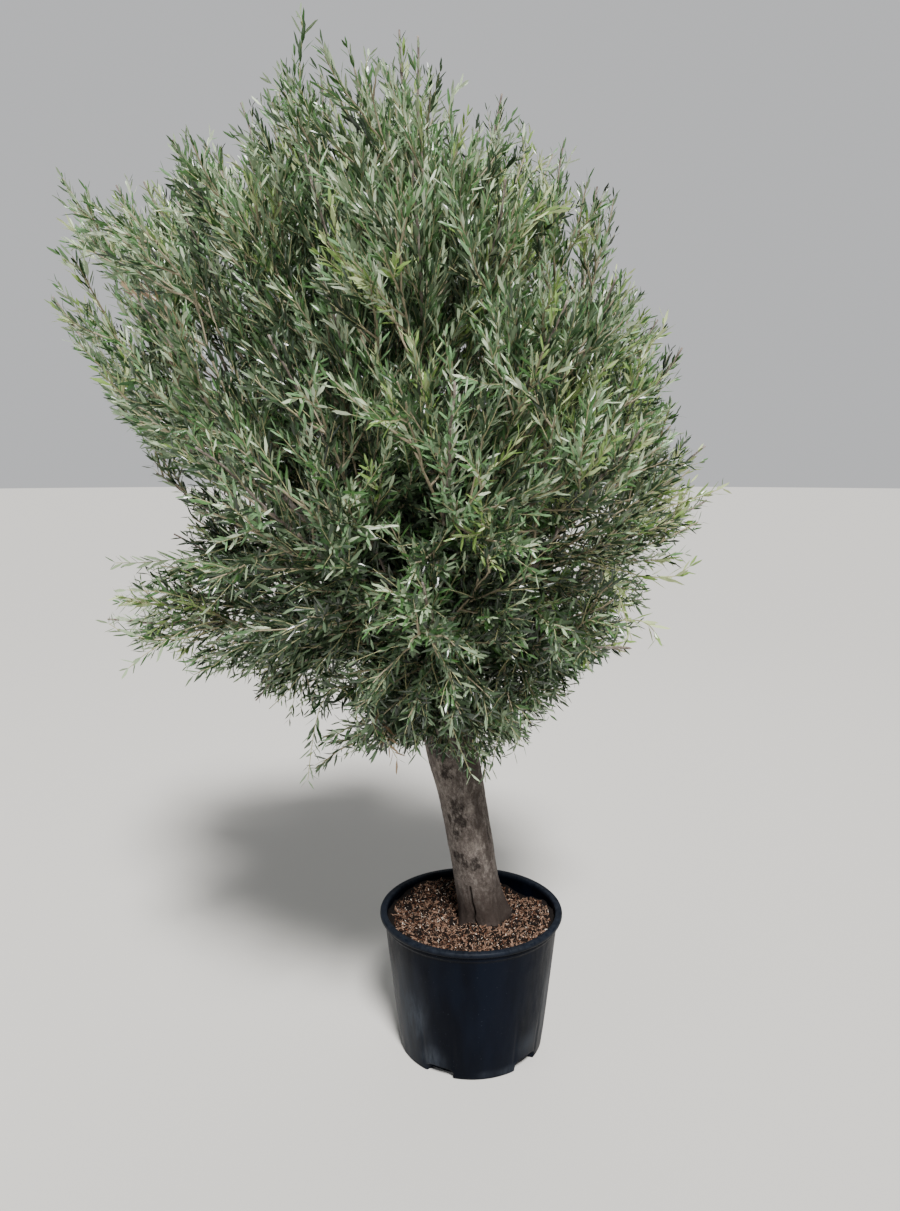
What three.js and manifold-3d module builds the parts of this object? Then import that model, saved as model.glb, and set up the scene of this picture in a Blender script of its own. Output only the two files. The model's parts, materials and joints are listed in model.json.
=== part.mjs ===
// An olive tree in a round nursery pot: the pot, the bark mulch in it, the leaning trunk,
// its boughs, and one mass of twigs and leaves on the end of each bough.
// Millimetres, +Z up. The origin is the middle of the pot's flat underside.

import * as THREE from 'three';
import { mergeVertices } from 'three/addons/utils/BufferGeometryUtils.js';
import Module from 'manifold-3d';

const wasm = await Module();
wasm.setup();

const fitGap = 0.3;
const facetGap = 0.1;

// Pot
const potHeight = 345;
const rimRadius = 225;
const rimBand = 12;
const lipWidth = 17;
const beadRadius = 218;
const beadBand = 12;
const shoulderRadius = 213;
const footRadius = 178;
const wallThickness = 3.6;
const rimRound = 4;
const stepRise = 2;
const potSides = 36;

// Notches round the foot, each a shallow pocket with rounded top corners. The heading is that
// of the first one, in degrees from +X.
const notchCount = 5;
const notchHeading = -116;
const notchWidth = 68;
const notchHeight = 24;
const notchDepth = 20;
const notchCorner = 14;

// Mulch, level round the trunk and heaped up a little towards the pot's wall
const mulchHeight = 315;
const mulchFlatRadius = 118;
const mulchEdgeHeight = 325;
const mulchRoom = 0.5;

// Trunk, from the flat cut on the mulch to the head where the boughs leave it
const footPlace = new THREE.Vector3(30, 20, mulchHeight + fitGap);
const trunkHead = new THREE.Vector3(-110, -8, 590);
const trunkSag = new THREE.Vector3(-42, -14, 270);
const footGirth = 68;
const waistGirth = 56;
const headGirth = 62;
const flareHeight = 42;
const swellStart = 0.4;
const swellEnd = 0.85;
const domeStart = 0.88;
const domeFlatness = 0.93;
const rootLobes = 5;
const rootLobeDepth = 0.09;
const trunkSides = 15;
const trunkSteps = 9;

// Crown: every limb is aimed from the heart of the crown, in the trunk's head
const heart = new THREE.Vector3(-106, -5, 585);
const boughSides = 5;
const boughSteps = 3;
const boughTaper = 0.5;
const boughRootOut = 0.35;
const bendPlace = 0.45;

// Stems, twigs and leaves: each leaf is larger than life and stands for a spray
const stemSides = 4;
const stemSteps = 3;
const stemTipRadius = 6;
const stemTaper = 0.8;
const twigSides = 3;
const twigSteps = 1;
const twigRadius = 3.8;
const twigTipRadius = 3.6;
const twigSlantAtFoot = 62;
const twigSlantAtTip = 30;
const twigSlantSpread = 8;
const twigLengthAtTip = 0.55;
const twigLengthSpread = [0.8, 1.1];
const longTwig = 0.55;
const firstCorner = Math.PI / 2;
const leafLength = 205;
const leafWidth = 70;
const leafThickness = 5;
const leafWaist = 0.4;
const leafRootSunk = 2.4;
const leafSlant = 32;
const leafSlantSpread = [0.8, 1.25];
const leafPlaces = [0.4, 0.95];

// Room that leaves and twigs keep to other masses, to limbs and to one another
const spaceMargin = 3;
const limbClearance = 3;
const leafRoom = 0.22;
const leafFork = 0.25;
const spineSteps = 6;
const leafProbes = [0.15, 0.4, 0.7, 1];
const twigProbes = [0.25, 0.5, 0.75, 1];

// Growth: the places tried along a stem go by golden shares, and round it by golden turns
const growthSeed = 4127;
const seedStep = 97;
const goldenTurn = 137.508;
const goldenShare = 0.618034;
const twigPlaces = [0.04, 0.94];
const mostTries = 240;

// heading turns from +X towards +Y and rise is measured up from the level, in degrees.
// reach is how far the limb's last leaf tip lies from the heart. bend lifts the limb's start
// above its chord. at is the share of the parent where the limb leaves it, and foliage the share
// of the limb where its mass of leaves begins. spread is the length of the mass's longest twigs,
// and lift turns their ends up, or down where it is below nought. size is that of its leaves.
const limbs = [
  { name: 'left', from: 'trunk', at: 0.93, heading: 189, rise: 46, reach: 1245, bend: -2,
    girth: 21, foliage: 0.46, spread: 170, lift: 0.1, leaves: 17, size: 1 },
  { name: 'crown_left', from: 'trunk', at: 0.96, heading: 174, rise: 78, reach: 1440, bend: -15,
    girth: 20, foliage: 0.4, spread: 190, lift: 0.25, leaves: 20, size: 1 },
  { name: 'crown_top', from: 'trunk', at: 0.97, heading: 223, rise: 86, reach: 1475, bend: 0,
    girth: 17, foliage: 0.46, spread: 180, lift: 0.25, leaves: 20, size: 1 },
  { name: 'right', from: 'trunk', at: 0.93, heading: 5, rise: 36, reach: 800, bend: 14,
    girth: 20, foliage: 0.4, spread: 160, lift: 0.08, leaves: 16, size: 0.85 },
  { name: 'right_upper', from: 'trunk', at: 0.96, heading: 358, rise: 71, reach: 1220, bend: -14,
    girth: 19, foliage: 0.4, spread: 180, lift: 0.2, leaves: 20, size: 1 },
  { name: 'back_top', from: 'trunk', at: 0.95, heading: 95, rise: 66, reach: 1250, bend: -12,
    girth: 20, foliage: 0.42, spread: 190, lift: 0.2, leaves: 19, size: 1 },
  { name: 'front_low', from: 'trunk', at: 0.94, heading: 268, rise: 30, reach: 700, bend: 14,
    girth: 19, foliage: 0.34, spread: 150, lift: 0.02, leaves: 18, size: 0.8 },

  { name: 'upper_left', from: 'left', at: 0.3, heading: 167, rise: 56, reach: 1480, bend: 4,
    girth: 13, foliage: 0.36, spread: 180, lift: 0.2, leaves: 19, size: 1 },
  { name: 'left_mid', from: 'left', at: 0.38, heading: 172, rise: 36, reach: 1130, bend: 2,
    girth: 11, foliage: 0.28, spread: 150, lift: 0.04, leaves: 17, size: 0.9 },
  { name: 'left_low', from: 'left', at: 0.16, heading: 187, rise: 16, reach: 800, bend: 12,
    girth: 12, foliage: 0.4, spread: 150, lift: 0.02, leaves: 16, size: 0.85 },
  { name: 'low_left', from: 'left_low', at: 0.2, heading: 166, rise: -1, reach: 570, bend: 18,
    girth: 9, foliage: 0.3, spread: 120, lift: -0.12, leaves: 15, size: 0.7 },
  { name: 'top_left', from: 'crown_left', at: 0.28, heading: 206, rise: 64, reach: 1310, bend: 4,
    girth: 12, foliage: 0.3, spread: 190, lift: 0.2, leaves: 20, size: 1 },
  { name: 'front_far_left', from: 'crown_left', at: 0.14, heading: 223, rise: 48, reach: 1120,
    bend: -6, girth: 13, foliage: 0.34, spread: 180, lift: 0.12, leaves: 19, size: 1 },
  { name: 'front_left', from: 'front_low', at: 0.22, heading: 238, rise: 38, reach: 940, bend: 6,
    girth: 12, foliage: 0.3, spread: 180, lift: 0.1, leaves: 19, size: 0.95 },
  { name: 'front_mid', from: 'crown_top', at: 0.12, heading: 272, rise: 46, reach: 960, bend: 0,
    girth: 12, foliage: 0.3, spread: 170, lift: 0.1, leaves: 17, size: 0.95 },
  { name: 'front_top', from: 'crown_top', at: 0.22, heading: 266, rise: 64, reach: 1180, bend: 2,
    girth: 12, foliage: 0.3, spread: 190, lift: 0.15, leaves: 19, size: 1 },
  { name: 'top_right', from: 'crown_top', at: 0.36, heading: 50, rise: 80, reach: 1420, bend: -14,
    girth: 9.5, foliage: 0.25, spread: 180, lift: 0.22, leaves: 19, size: 1 },
  { name: 'front_right', from: 'right_upper', at: 0.16, heading: 302, rise: 42, reach: 920,
    bend: 0, girth: 13, foliage: 0.3, spread: 180, lift: 0.12, leaves: 19, size: 0.95 },
  { name: 'front_right_low', from: 'right', at: 0.14, heading: 310, rise: 20, reach: 660, bend: 18,
    girth: 11, foliage: 0.34, spread: 140, lift: 0.02, leaves: 16, size: 0.75 },
  { name: 'right_mid', from: 'right', at: 0.26, heading: 338, rise: 55, reach: 960, bend: 6,
    girth: 12, foliage: 0.3, spread: 160, lift: 0.12, leaves: 18, size: 0.9 },
  { name: 'right_low', from: 'right', at: 0.34, heading: 350, rise: 14, reach: 580, bend: 10,
    girth: 9, foliage: 0.25, spread: 120, lift: -0.04, leaves: 15, size: 0.7 },
  { name: 'back_left', from: 'back_top', at: 0.2, heading: 128, rise: 44, reach: 1060, bend: -4,
    girth: 13, foliage: 0.34, spread: 190, lift: 0.12, leaves: 18, size: 1 },
  { name: 'back_right', from: 'back_top', at: 0.26, heading: 48, rise: 46, reach: 960, bend: 0,
    girth: 13, foliage: 0.34, spread: 190, lift: 0.12, leaves: 18, size: 1 },
  { name: 'back_low', from: 'trunk', at: 0.92, heading: 68, rise: 20, reach: 670, bend: 18,
    girth: 15, foliage: 0.4, spread: 150, lift: 0.02, leaves: 16, size: 0.9 },
  { name: 'back_left_low', from: 'back_low', at: 0.12, heading: 130, rise: 14, reach: 670,
    bend: 16, girth: 11, foliage: 0.34, spread: 150, lift: 0.02, leaves: 16, size: 0.85 },

  { name: 'hanging_left', from: 'trunk', at: 0.84, heading: 213, rise: -24, reach: 400, bend: 52,
    girth: 7, foliage: 0, spread: 80, lift: -0.4, leaves: 12, size: 0.55 },
  { name: 'low_right', from: 'trunk', at: 0.86, heading: 352, rise: -10, reach: 330, bend: 36,
    girth: 7, foliage: 0, spread: 80, lift: -0.25, leaves: 12, size: 0.55 },
  { name: 'trunk_right', from: 'trunk', at: 0.76, heading: 322, rise: -52, reach: 270, bend: 46,
    girth: 7, foliage: 0, spread: 60, lift: -0.3, leaves: 8, size: 0.42 },
  { name: 'trunk_front', from: 'trunk', at: 0.83, heading: 258, rise: -24, reach: 300, bend: 44,
    girth: 7, foliage: 0, spread: 80, lift: -0.3, leaves: 12, size: 0.5 },
  { name: 'trunk_back', from: 'trunk', at: 0.82, heading: 100, rise: -20, reach: 330, bend: 44,
    girth: 7, foliage: 0, spread: 90, lift: -0.25, leaves: 12, size: 0.55 },
];

const materials = {
  pot: new THREE.MeshStandardMaterial({ color: 0x1b222a, roughness: 0.48, metalness: 0 }),
  mulch: new THREE.MeshStandardMaterial({ color: 0x7a5240, roughness: 0.95, metalness: 0 }),
  bark: new THREE.MeshStandardMaterial({ color: 0x958a78, roughness: 0.9, metalness: 0 }),
  leaf: new THREE.MeshStandardMaterial({ color: 0x6f7f62, roughness: 0.6, metalness: 0 }),
};

const radians = THREE.MathUtils.degToRad;
const degrees = THREE.MathUtils.radToDeg;
const mix = THREE.MathUtils.lerp;
const tiny = 1e-3;
const up = new THREE.Vector3(0, 0, 1);

// A row of fixed chances, the same at every run
class Dice {
  constructor(seed) {
    this.state = seed;
  }

  between(low, high) {
    this.state = (this.state * 16807) % 2147483647;
    return mix(low, high, this.state / 2147483647);
  }
}

// Solids and meshes

function toSolid(geometry) {
  const bare = geometry.clone();
  bare.deleteAttribute('normal');
  bare.deleteAttribute('uv');
  const closed = mergeVertices(bare, tiny / 10);
  return new wasm.Manifold(new wasm.Mesh({
    numProp: 3,
    vertProperties: new Float32Array(closed.attributes.position.array),
    triVerts: new Uint32Array(closed.index.array),
  }));
}

// The outer skin of the largest piece: loose scraps go, and sealed hollows are filled
function largestPiece(solid) {
  const pieces = solid.decompose();
  pieces.sort((a, b) => b.volume() - a.volume());
  return pieces[0];
}

function toMesh(name, solid, material) {
  const { vertProperties, triVerts } = solid.getMesh();
  const geometry = new THREE.BufferGeometry();
  geometry.setAttribute('position', new THREE.BufferAttribute(vertProperties, 3));
  geometry.setIndex(new THREE.BufferAttribute(triVerts, 1));
  geometry.computeVertexNormals();
  const mesh = new THREE.Mesh(geometry, material);
  mesh.name = name;
  return mesh;
}

// A profile of radius and height pairs, turned about the pot's upright axis
function turned(profile) {
  const points = profile.map(([radius, height]) => new THREE.Vector2(radius, height));
  const geometry = new THREE.LatheGeometry(points, potSides);
  geometry.rotateX(Math.PI / 2);
  return toSolid(geometry);
}

// Pot and mulch

function wallRadius(height) {
  return mix(footRadius, shoulderRadius, height / (potHeight - rimBand - beadBand));
}

// A block as wide and high as a notch, lying along +X from one radius to another and
// reaching a little below the foot
function notchBlock(width, height, innerRadius, outerRadius) {
  const half = width / 2;
  const outline = new THREE.Shape([
    new THREE.Vector2(-half, -1),
    new THREE.Vector2(half, -1),
    new THREE.Vector2(half, height - notchCorner),
    new THREE.Vector2(half - notchCorner, height),
    new THREE.Vector2(notchCorner - half, height),
    new THREE.Vector2(-half, height - notchCorner),
  ]);
  const geometry = new THREE.ExtrudeGeometry(outline, {
    depth: outerRadius - innerRadius,
    bevelEnabled: false,
  });
  geometry.rotateX(Math.PI / 2);
  geometry.rotateZ(Math.PI / 2);
  geometry.translate(innerRadius, 0, 0);
  return geometry;
}

// All the notches, grown on every side by the lining of their pockets
function notchBlocks(lining) {
  const blocks = [];
  for (let i = 0; i < notchCount; i += 1) {
    const block = notchBlock(notchWidth + 2 * lining, notchHeight + lining,
      footRadius - notchDepth - lining, footRadius + notchDepth);
    block.rotateZ(radians(notchHeading + (i * 360) / notchCount));
    blocks.push(toSolid(block));
  }
  return blocks;
}

function makePot() {
  const beadTop = potHeight - rimBand;
  const shoulder = beadTop - beadBand;
  const lipInner = rimRadius - lipWidth;
  const outside = [
    [0, 0], [footRadius, 0], [shoulderRadius, shoulder], [beadRadius, shoulder + stepRise],
    [beadRadius, beadTop - stepRise / 2], [rimRadius, beadTop + stepRise / 2],
    [rimRadius, potHeight - rimRound], [rimRadius - rimRound, potHeight],
  ];
  const inside = [
    [lipInner, potHeight], [shoulderRadius - wallThickness, shoulder - rimRound],
    [wallRadius(wallThickness) - wallThickness, wallThickness], [0, wallThickness],
  ];
  const envelope = turned([...outside, [0, potHeight]]);
  let pot = turned([...outside, ...inside]);
  for (const pocket of notchBlocks(wallThickness)) {
    pot = pot.add(pocket.intersect(envelope));
  }
  for (const notch of notchBlocks(0)) {
    pot = pot.subtract(notch);
  }
  return toMesh('pot', pot, materials.pot);
}

function makeMulch() {
  const floor = wallThickness + fitGap;
  const edge = mulchEdgeHeight;
  const floorRadius = wallRadius(floor) - wallThickness - mulchRoom;
  const edgeRadius = rimRadius - lipWidth - mulchRoom;
  let mulch = turned([
    [0, floor], [floorRadius, floor], [edgeRadius, edge], [mulchFlatRadius, mulchHeight],
    [0, mulchHeight],
  ]);
  for (const pocket of notchBlocks(wallThickness + fitGap)) {
    mulch = mulch.subtract(pocket);
  }
  return toMesh('mulch', mulch, materials.mulch);
}

// Limbs

// A path that bends in one plane, from its root over a control point to its tip
class LimbPath extends THREE.QuadraticBezierCurve3 {
  constructor(root, control, tip) {
    super(root, control, tip);
    const chord = tip.clone().sub(root);
    this.reach = chord.length();
    this.side = control.clone().sub(root).cross(chord);
    if (this.side.length() < tiny * this.reach * this.reach) {
      this.side = new THREE.Vector3(-chord.y, chord.x, 0);
    }
    this.side.normalize();
  }

  // A direction that leaves the path at a slant, turned about it
  branch(share, turn, slant) {
    const along = this.getTangent(share);
    const over = this.side.clone().cross(along);
    return along.multiplyScalar(Math.cos(slant))
      .addScaledVector(this.side, Math.cos(turn) * Math.sin(slant))
      .addScaledVector(over, Math.sin(turn) * Math.sin(slant));
  }
}

function polar(heading, rise, reach) {
  const level = reach * Math.cos(radians(rise));
  return new THREE.Vector3(
    level * Math.cos(radians(heading)),
    level * Math.sin(radians(heading)),
    reach * Math.sin(radians(rise)),
  );
}

// Rings of a cylinder set square along a stretch of a path, with a radius for each share of it
function limbGeometry(path, radiusAt, sides, steps, start, end) {
  const geometry = new THREE.CylinderGeometry(1, 1, 1, sides, steps);
  const place = geometry.attributes.position;
  const point = new THREE.Vector3();
  for (let i = 0; i < place.count; i += 1) {
    const share = mix(start, end, place.getY(i) + 0.5);
    const across = place.getX(i);
    const over = place.getZ(i);
    const radius = radiusAt(share, Math.atan2(over, across));
    const along = path.getTangent(share);
    path.getPoint(share, point);
    point.addScaledVector(path.side, across * radius);
    point.addScaledVector(path.side.clone().cross(along), over * radius);
    place.setXYZ(i, point.x, point.y, point.z);
  }
  return geometry;
}

const trunkPath = new LimbPath(new THREE.Vector3(), trunkSag, trunkHead);

function trunkRadius(share, turn = 0) {
  const height = share * trunkHead.z;
  const flare = Math.exp(-height / flareHeight);
  const swell = THREE.MathUtils.smoothstep(share, swellStart, swellEnd);
  const girth = waistGirth + (footGirth - waistGirth) * flare + (headGirth - waistGirth) * swell;
  const lobes = 1 + rootLobeDepth * flare * Math.cos(rootLobes * turn);
  const past = Math.max(0, (share - domeStart) / (1 - domeStart));
  return girth * lobes * Math.sqrt(1 - domeFlatness * past * past);
}

// The trunk's lowest ring is laid level, as its flat cut on the mulch
function trunkSolid(grown = 0) {
  const geometry = limbGeometry(trunkPath, (share, turn) => trunkRadius(share, turn) + grown,
    trunkSides, trunkSteps, 0, 1);
  const place = geometry.attributes.position;
  for (let i = 0; i < place.count; i += 1) {
    if (place.getZ(i) < flareHeight / 2) {
      place.setZ(i, -grown);
    }
  }
  return toSolid(geometry);
}

// Where a limb starts, where it ends and how it bends between
function limbPath(limb, parentPath) {
  const root = parentPath.getPoint(limb.at);
  const stemReach = limb.reach - limb.size * leafLength;
  const tip = heart.clone().add(polar(limb.heading, limb.rise, stemReach));
  if (limb.from === 'trunk') {
    root.add(polar(limb.heading, 0, boughRootOut * trunkRadius(limb.at)));
  }
  const chord = tip.clone().sub(root);
  const length = chord.length();
  const heading = degrees(Math.atan2(chord.y, chord.x));
  const rise = degrees(Math.asin(chord.z / length));
  const control = root.clone().add(polar(heading, rise + limb.bend, bendPlace * length));
  return new LimbPath(root, control, tip);
}

const paths = { trunk: trunkPath };
for (const limb of limbs) {
  paths[limb.name] = limbPath(limb, paths[limb.from]);
}

// The bough takes the first share of a limb's path, and the stem of its leaves the rest
function boughRadius(limb, share) {
  return limb.girth * mix(1, boughTaper, share / limb.foliage);
}

function stemRadius(limb, share) {
  const start = limb.foliage > 0 ? boughRadius(limb, limb.foliage) : limb.girth;
  const end = Math.min(stemTipRadius, stemTaper * start);
  return mix(start, end, (share - limb.foliage) / (1 - limb.foliage));
}

function boughSolid(limb, grown = 0) {
  return toSolid(limbGeometry(paths[limb.name], (share) => boughRadius(limb, share) + grown,
    boughSides, boughSteps, 0, limb.foliage));
}

// A limb as short straight pieces with a radius each, for keeping others clear of it
function capsules(path, radiusAt, start, end) {
  const pieces = [];
  for (let i = 0; i < spineSteps; i += 1) {
    const from = mix(start, end, i / spineSteps);
    const to = mix(start, end, (i + 1) / spineSteps);
    const line = new THREE.Line3(path.getPoint(from), path.getPoint(to));
    pieces.push({ line, radius: Math.max(radiusAt(from), radiusAt(to)) });
  }
  return pieces;
}

const nearest = new THREE.Vector3();

function distanceTo(piece, point) {
  return piece.line.closestPointToPoint(point, true, nearest).distanceTo(point);
}

function clearOfLimbs(point, radius, obstacles) {
  return obstacles.every((piece) => distanceTo(piece, point) > piece.radius + radius + limbClearance);
}

// Each mass keeps to the space that lies nearer to its own stem than to any other
function inOwnSpace(point, name, spines) {
  const own = Math.min(...spines[name].map((piece) => distanceTo(piece, point)));
  return Object.keys(spines).every((other) => other === name
    || spines[other].every((piece) => distanceTo(piece, point) > own + spaceMargin));
}

// Leaves and twigs

// A twig or stem that widens at its end into a flat leaf and closes in that leaf's point
function twigGeometry(path, radiusAt, sides, steps, start, size) {
  const geometry = new THREE.CylinderGeometry(0, 1, 1, sides, steps + 2);
  const place = geometry.attributes.position;
  const along = path.getTangent(1);
  const over = path.side.clone().cross(along);
  const point = new THREE.Vector3();
  for (let i = 0; i < place.count; i += 1) {
    const ring = Math.round((place.getY(i) + 0.5) * (steps + 2));
    const share = mix(start, 1, Math.min(ring / steps, 1));
    const turn = Math.atan2(place.getZ(i), place.getX(i));
    const onAxis = Math.hypot(place.getX(i), place.getZ(i)) < tiny;
    const ringRadius = onAxis ? 0 : radiusAt(share);
    const ringWidth = onAxis || ring <= steps ? ringRadius : (size * leafWidth) / 2;
    const ringDepth = onAxis || ring <= steps ? ringRadius : leafThickness / 2;
    const tangent = path.getTangent(share);
    path.getPoint(share, point);
    if (ring > steps) {
      point.addScaledVector(along, (ring > steps + 1 ? 1 : leafWaist) * size * leafLength);
    }
    point.addScaledVector(path.side, Math.cos(turn) * ringWidth);
    point.addScaledVector(ring > steps ? over : path.side.clone().cross(tangent),
      Math.sin(turn) * ringDepth);
    place.setXYZ(i, point.x, point.y, point.z);
  }
  return geometry;
}

function leafGeometry({ root, direction, width }, size) {
  const geometry = new THREE.OctahedronGeometry(1, 0);
  const place = geometry.attributes.position;
  for (let i = 0; i < place.count; i += 1) {
    const x = place.getX(i);
    const along = Math.abs(x) < 0.5 ? leafWaist : (x + 1) / 2;
    place.setXYZ(i, along * size * leafLength - leafRootSunk,
      (place.getY(i) * size * leafWidth) / 2, (place.getZ(i) * leafThickness) / 2);
  }
  const normal = direction.clone().cross(width);
  geometry.applyMatrix4(new THREE.Matrix4().makeBasis(direction, width, normal).setPosition(root));
  return geometry;
}

// A leaf's or twig's midline, kept clear of the others in its mass by their half widths
function clearOfMass(line, halfWidth, taken) {
  return taken.every((other) => Math.sqrt(line.distanceSqToLine3(other.line))
    > halfWidth + other.halfWidth);
}

function leafLine({ root, direction }, size) {
  const start = root.clone().addScaledVector(direction, leafFork * size * leafLength);
  return new THREE.Line3(start, root.clone().addScaledVector(direction, size * leafLength));
}

function leafFits({ root, direction, width }, limb, crown) {
  const length = limb.size * leafLength;
  const breadth = limb.size * leafWidth;
  const middle = root.clone().addScaledVector(direction, leafWaist * length);
  const edges = [-0.5, 0.5].map((side) => middle.clone().addScaledVector(width, side * breadth));
  const spine = leafProbes.map(
    (share) => root.clone().addScaledVector(direction, share * length),
  );
  return [...edges, ...spine].every((point) => inOwnSpace(point, limb.name, crown.spines))
    && spine.every((point) => clearOfLimbs(point, breadth / 3, crown.obstacles));
}

// The middle of a twig's straight-sided tube
function tubeCentre(path, share) {
  const step = Math.floor(share * twigSteps);
  const from = path.getPoint(step / twigSteps);
  return from.lerp(path.getPoint((step + 1) / twigSteps), share * twigSteps - step);
}

// Leaves stand in pairs, square to the flat sides of the twig, each pair turned from the last
function twigLeaves(path, dice, pairs) {
  const leaves = [];
  const firstFlat = Math.floor(dice.between(0, twigSides));
  for (let i = 0; i < pairs; i += 1) {
    const share = mix(...leafPlaces, (i + 0.5) / pairs);
    for (const flat of [firstFlat + i, firstFlat + i + 1]) {
      const turn = firstCorner + ((flat + 0.5) * 2 * Math.PI) / twigSides;
      const slant = radians(leafSlant) * dice.between(...leafSlantSpread);
      const direction = path.branch(share, turn, slant);
      const width = direction.clone().cross(path.getTangent(share)).normalize();
      leaves.push({ root: tubeCentre(path, share), direction, width });
    }
  }
  return leaves;
}

function twigPath(limb, stem, share, turn, dice) {
  const slant = radians(mix(twigSlantAtFoot, twigSlantAtTip, share)
    + dice.between(-twigSlantSpread, twigSlantSpread));
  const length = limb.spread * mix(1, twigLengthAtTip, share) * dice.between(...twigLengthSpread);
  const root = stem.getPoint(mix(limb.foliage, 1, share));
  const direction = stem.branch(mix(limb.foliage, 1, share), turn, slant);
  const control = root.clone().addScaledVector(direction, length / 2);
  const tip = control.clone().addScaledVector(direction, length / 2).addScaledVector(up,
    limb.lift * length);
  return new LimbPath(root, control, tip);
}

function twigFits(path, name, crown) {
  return twigProbes.every((share) => {
    const point = path.getPoint(share);
    return inOwnSpace(point, name, crown.spines) && clearOfLimbs(point, twigRadius, crown.obstacles);
  });
}

// Twigs stand round the stem at golden turns until the mass has its count of leaves. A twig is
// left out where its own end leaf or all its side leaves would leave the space or touch a limb.
function growMass(limb, index, crown) {
  const dice = new Dice(growthSeed + seedStep * index);
  const stem = paths[limb.name];
  const gapShare = limb.foliage > 0 ? fitGap / stem.reach : 0;
  const parts = [twigGeometry(stem, (share) => stemRadius(limb, share), stemSides, stemSteps,
    limb.foliage + gapShare, limb.size)];
  const leafHalf = limb.size * leafWidth * leafRoom;
  const stemLines = capsules(stem, () => 0, limb.foliage, 1).map(({ line }) => line);
  const stemEnd = { root: stem.getPoint(1), direction: stem.getTangent(1) };
  const taken = [leafLine(stemEnd, limb.size), ...stemLines].map(
    (line) => ({ line, halfWidth: leafHalf }),
  );
  const others = [];
  let count = 1;
  for (let i = 0; i < mostTries && count < limb.leaves; i += 1) {
    const share = mix(...twigPlaces, (0.5 + i * goldenShare) % 1);
    const twig = twigPath(limb, stem, share, radians(i * goldenTurn), dice);
    const twigLine = new THREE.Line3(twig.getPoint(0), twig.getPoint(1));
    const end = { root: twig.getPoint(1), direction: twig.getTangent(1), width: twig.side };
    const pairs = twig.reach > longTwig * limb.size * leafLength ? 2 : 1;
    const grown = [];
    for (const leaf of [end, ...twigLeaves(twig, dice, pairs)]) {
      const line = leafLine(leaf, limb.size);
      if (clearOfMass(line, 0, taken) && clearOfMass(line, leafHalf, grown)
        && leafFits(leaf, limb, crown)) {
        grown.push({ ...leaf, line, halfWidth: leafHalf });
      }
    }
    if (grown.length > 1 && grown[0].root === end.root && twigFits(twig, limb.name, crown)
      && clearOfMass(twigLine, twigRadius, others)) {
      parts.push(twigGeometry(twig, (at) => mix(twigRadius, twigTipRadius, at), twigSides,
        twigSteps, 0, limb.size));
      parts.push(...grown.slice(1).map((leaf) => leafGeometry(leaf, limb.size)));
      count += grown.length;
      taken.push({ line: twigLine, halfWidth: twigRadius + leafHalf });
      taken.push(...grown.map(({ line }) => ({ line, halfWidth: 2 * leafHalf })));
      others.push({ line: twigLine, halfWidth: twigRadius }, ...grown);
    }
  }
  return parts;
}

// Putting the tree together

function makeBoughs() {
  const boughs = [];
  const grown = [trunkSolid(fitGap + facetGap)];
  for (const limb of limbs.filter((each) => each.foliage > 0)) {
    let solid = boughSolid(limb);
    for (const earlier of grown) {
      solid = solid.subtract(earlier);
    }
    boughs.push(toMesh(`bough_${limb.name}`, largestPiece(solid), materials.bark));
    grown.push(boughSolid(limb, fitGap + facetGap));
  }
  return boughs;
}

function makeMasses() {
  const boughs = limbs.filter((limb) => limb.foliage > 0);
  const crown = {
    obstacles: [
      ...capsules(trunkPath, trunkRadius, 0, 1),
      ...boughs.flatMap((limb) => capsules(paths[limb.name],
        (share) => boughRadius(limb, share), 0, limb.foliage)),
    ],
    spines: Object.fromEntries(limbs.map((limb) => [limb.name,
      capsules(paths[limb.name], () => 0, limb.foliage, 1)])),
  };
  const trunkRoom = trunkSolid(fitGap + facetGap);
  return limbs.map((limb, index) => {
    let mass = null;
    for (const part of growMass(limb, index, crown)) {
      mass = mass ? mass.add(toSolid(part)) : toSolid(part);
    }
    if (limb.foliage === 0) {
      mass = mass.subtract(trunkRoom);
    }
    return toMesh(`foliage_${limb.name}`, largestPiece(mass), materials.leaf);
  });
}

const tree = new THREE.Group();
tree.position.copy(footPlace);
tree.add(toMesh('trunk', trunkSolid(), materials.bark));
tree.add(...makeBoughs());
tree.add(...makeMasses());

const group = new THREE.Group();
group.add(makePot(), makeMulch(), tree);
export default group;
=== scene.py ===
import itertools
import json
import math

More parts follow.
